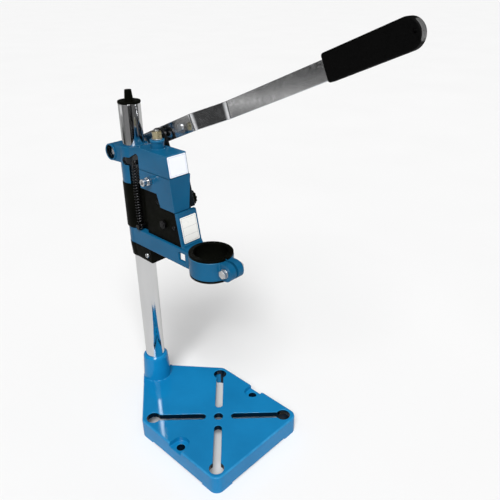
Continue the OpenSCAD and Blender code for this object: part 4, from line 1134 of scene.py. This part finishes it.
def screwHead(s):
    r, h = s["radius"], s["height"]
    sunk, step = -screwShape["sunk"], screwShape["domeStep"]
    rim, crown = h * screwShape["rim"], r * screwShape["crown"]
    bm = bmesh.new()
    profile = [(sunk, 0), (sunk, r), (rim, r)]
    profile += [(rim + (h - rim) * math.sin(a), crown + (r - crown) * math.cos(a))
                for a in (math.radians(d) for d in range(step, 90, step))]
    profile += [(h, crown), (h, 0)]
    latheMesh(bm, (0, 0, 0), (0, 0, 1), profile)
    mesh = meshFrom(bm, "screwHead")

    def cross(cutter):
        a, b = r * screwShape["cross"], s["blade"] / 2
        arm = [(a, -b), (a, b), (b, b)]
        plan = arm + [(-y, x) for x, y in arm] + [(-x, -y) for x, y in arm] + [(y, -x) for x, y in arm]
        rings = [[cutter.verts.new((x * mm, y * mm, z * mm)) for x, y in plan]
                 for z in (h - s["recess"], h + 1.0)]
        closeRings(cutter, rings)

    return cutWith(mesh, "screwHead", cross)


def screwTree(headPiece, finish):
    tree = newTree("screwsOnSeats", {"headSize": "NodeSocketFloat"})
    make, link = tree.nodes.new, tree.links.new
    start, end = make("NodeGroupInput"), make("NodeGroupOutput")
    aim, align = make("GeometryNodeInputNamedAttribute"), make("FunctionNodeAlignRotationToVector")
    shape, put = make("GeometryNodeObjectInfo"), make("GeometryNodeInstanceOnPoints")
    real, dye = make("GeometryNodeRealizeInstances"), make("GeometryNodeSetMaterial")
    aim.data_type = "FLOAT_VECTOR"
    aim.inputs["Name"].default_value = "aim"
    align.axis = "Z"
    shape.inputs["Object"].default_value = headPiece
    dye.inputs["Material"].default_value = finish
    link(shape.outputs["Geometry"], put.inputs["Instance"])
    link(aim.outputs["Attribute"], align.inputs["Vector"])
    link(align.outputs["Rotation"], put.inputs["Rotation"])
    link(start.outputs["headSize"], put.inputs["Scale"])
    inLine(tree, start, put, real, dye, end)
    return tree


def setScrews(node, s):
    name, finish = node + "Shown", finishes[slotOf[node]]
    headPiece = placed("screwHeadShape", screwHead(s))
    tree = screwTree(headPiece, finish)
    seats = screwSeats(node, s)
    points = bpy.data.meshes.new(name + "Seats")
    points.from_pydata([tuple(c * mm for c in spot) for spot, side in seats], [], [])
    aims = points.attributes.new("aim", "FLOAT_VECTOR", "POINT")
    for i, (spot, side) in enumerate(seats):
        aims.data[i].vector = (side, 0.0, 0.0)

    def addScrews(piece):
        modifier = piece.modifiers.new("screws", "NODES")
        modifier.node_group = tree
        setInputs(modifier, {"headSize": 1.0})

    mesh = appliedMesh(points, name, addScrews)
    bm = bmesh.new()
    bm.from_mesh(mesh)
    addPiece(name, plainMesh(bm, name), finish, bodyOf[node], slotOf[node], node)
    bpy.data.objects.remove(headPiece)


for node, s in screwSet.items():
    setScrews(node, s)
print("screws done")


# Bare label films on the two front faces, with a frame and plain rules
labelSet = {"head_label": {"corner": 1.2, "sheet": paint(240, 243, 250), "line": paint(120, 140, 190),
                           "rules": ()},
            "carriage_label": {"corner": 1.0, "sheet": paint(240, 240, 236), "line": paint(60, 60, 64),
                               "rules": (-7.0, 3.0)}}


def buildLabel(node, s):
    bm = copiedNode(node)
    front = max(bm.faces, key=lambda face: face.calc_area() - face.normal.y * 1e-6)
    outward = front.normal.copy()
    centre = front.calc_center_median()
    right = Vector((1, 0, 0))
    up = outward.cross(right)
    if up.z <= 0:
        up = -up
    reach = [((v.co - centre).dot(right) / mm, (v.co - centre).dot(up) / mm) for v in front.verts]
    halfW, halfH = max(r[0] for r in reach), max(r[1] for r in reach)
    sides = [(edge, (edge.verts[1].co - edge.verts[0].co).normalized()) for edge in bm.edges]
    thin = [edge for edge, way in sides if abs(way.dot(outward)) > 0.99]
    bevel(bm, thin, s["corner"], 5)
    # Film's own UV, in millimetres from its middle
    layer = bm.loops.layers.uv.new("filmMillimetres")
    for face in bm.faces:
        for loop in face.loops:
            spot = loop.vert.co - centre
            loop[layer].uv = (spot.dot(right) / mm, spot.dot(up) / mm)
    finish = film(node + "Film", s["sheet"], s["line"], halfW, halfH, s["rules"])
    addPiece(node + "Shown", plainMesh(bm, node + "Shown"), finish, bodyOf[node], slotOf[node], node)


for node, s in labelSet.items():
    buildLabel(node, s)
print("labels done")
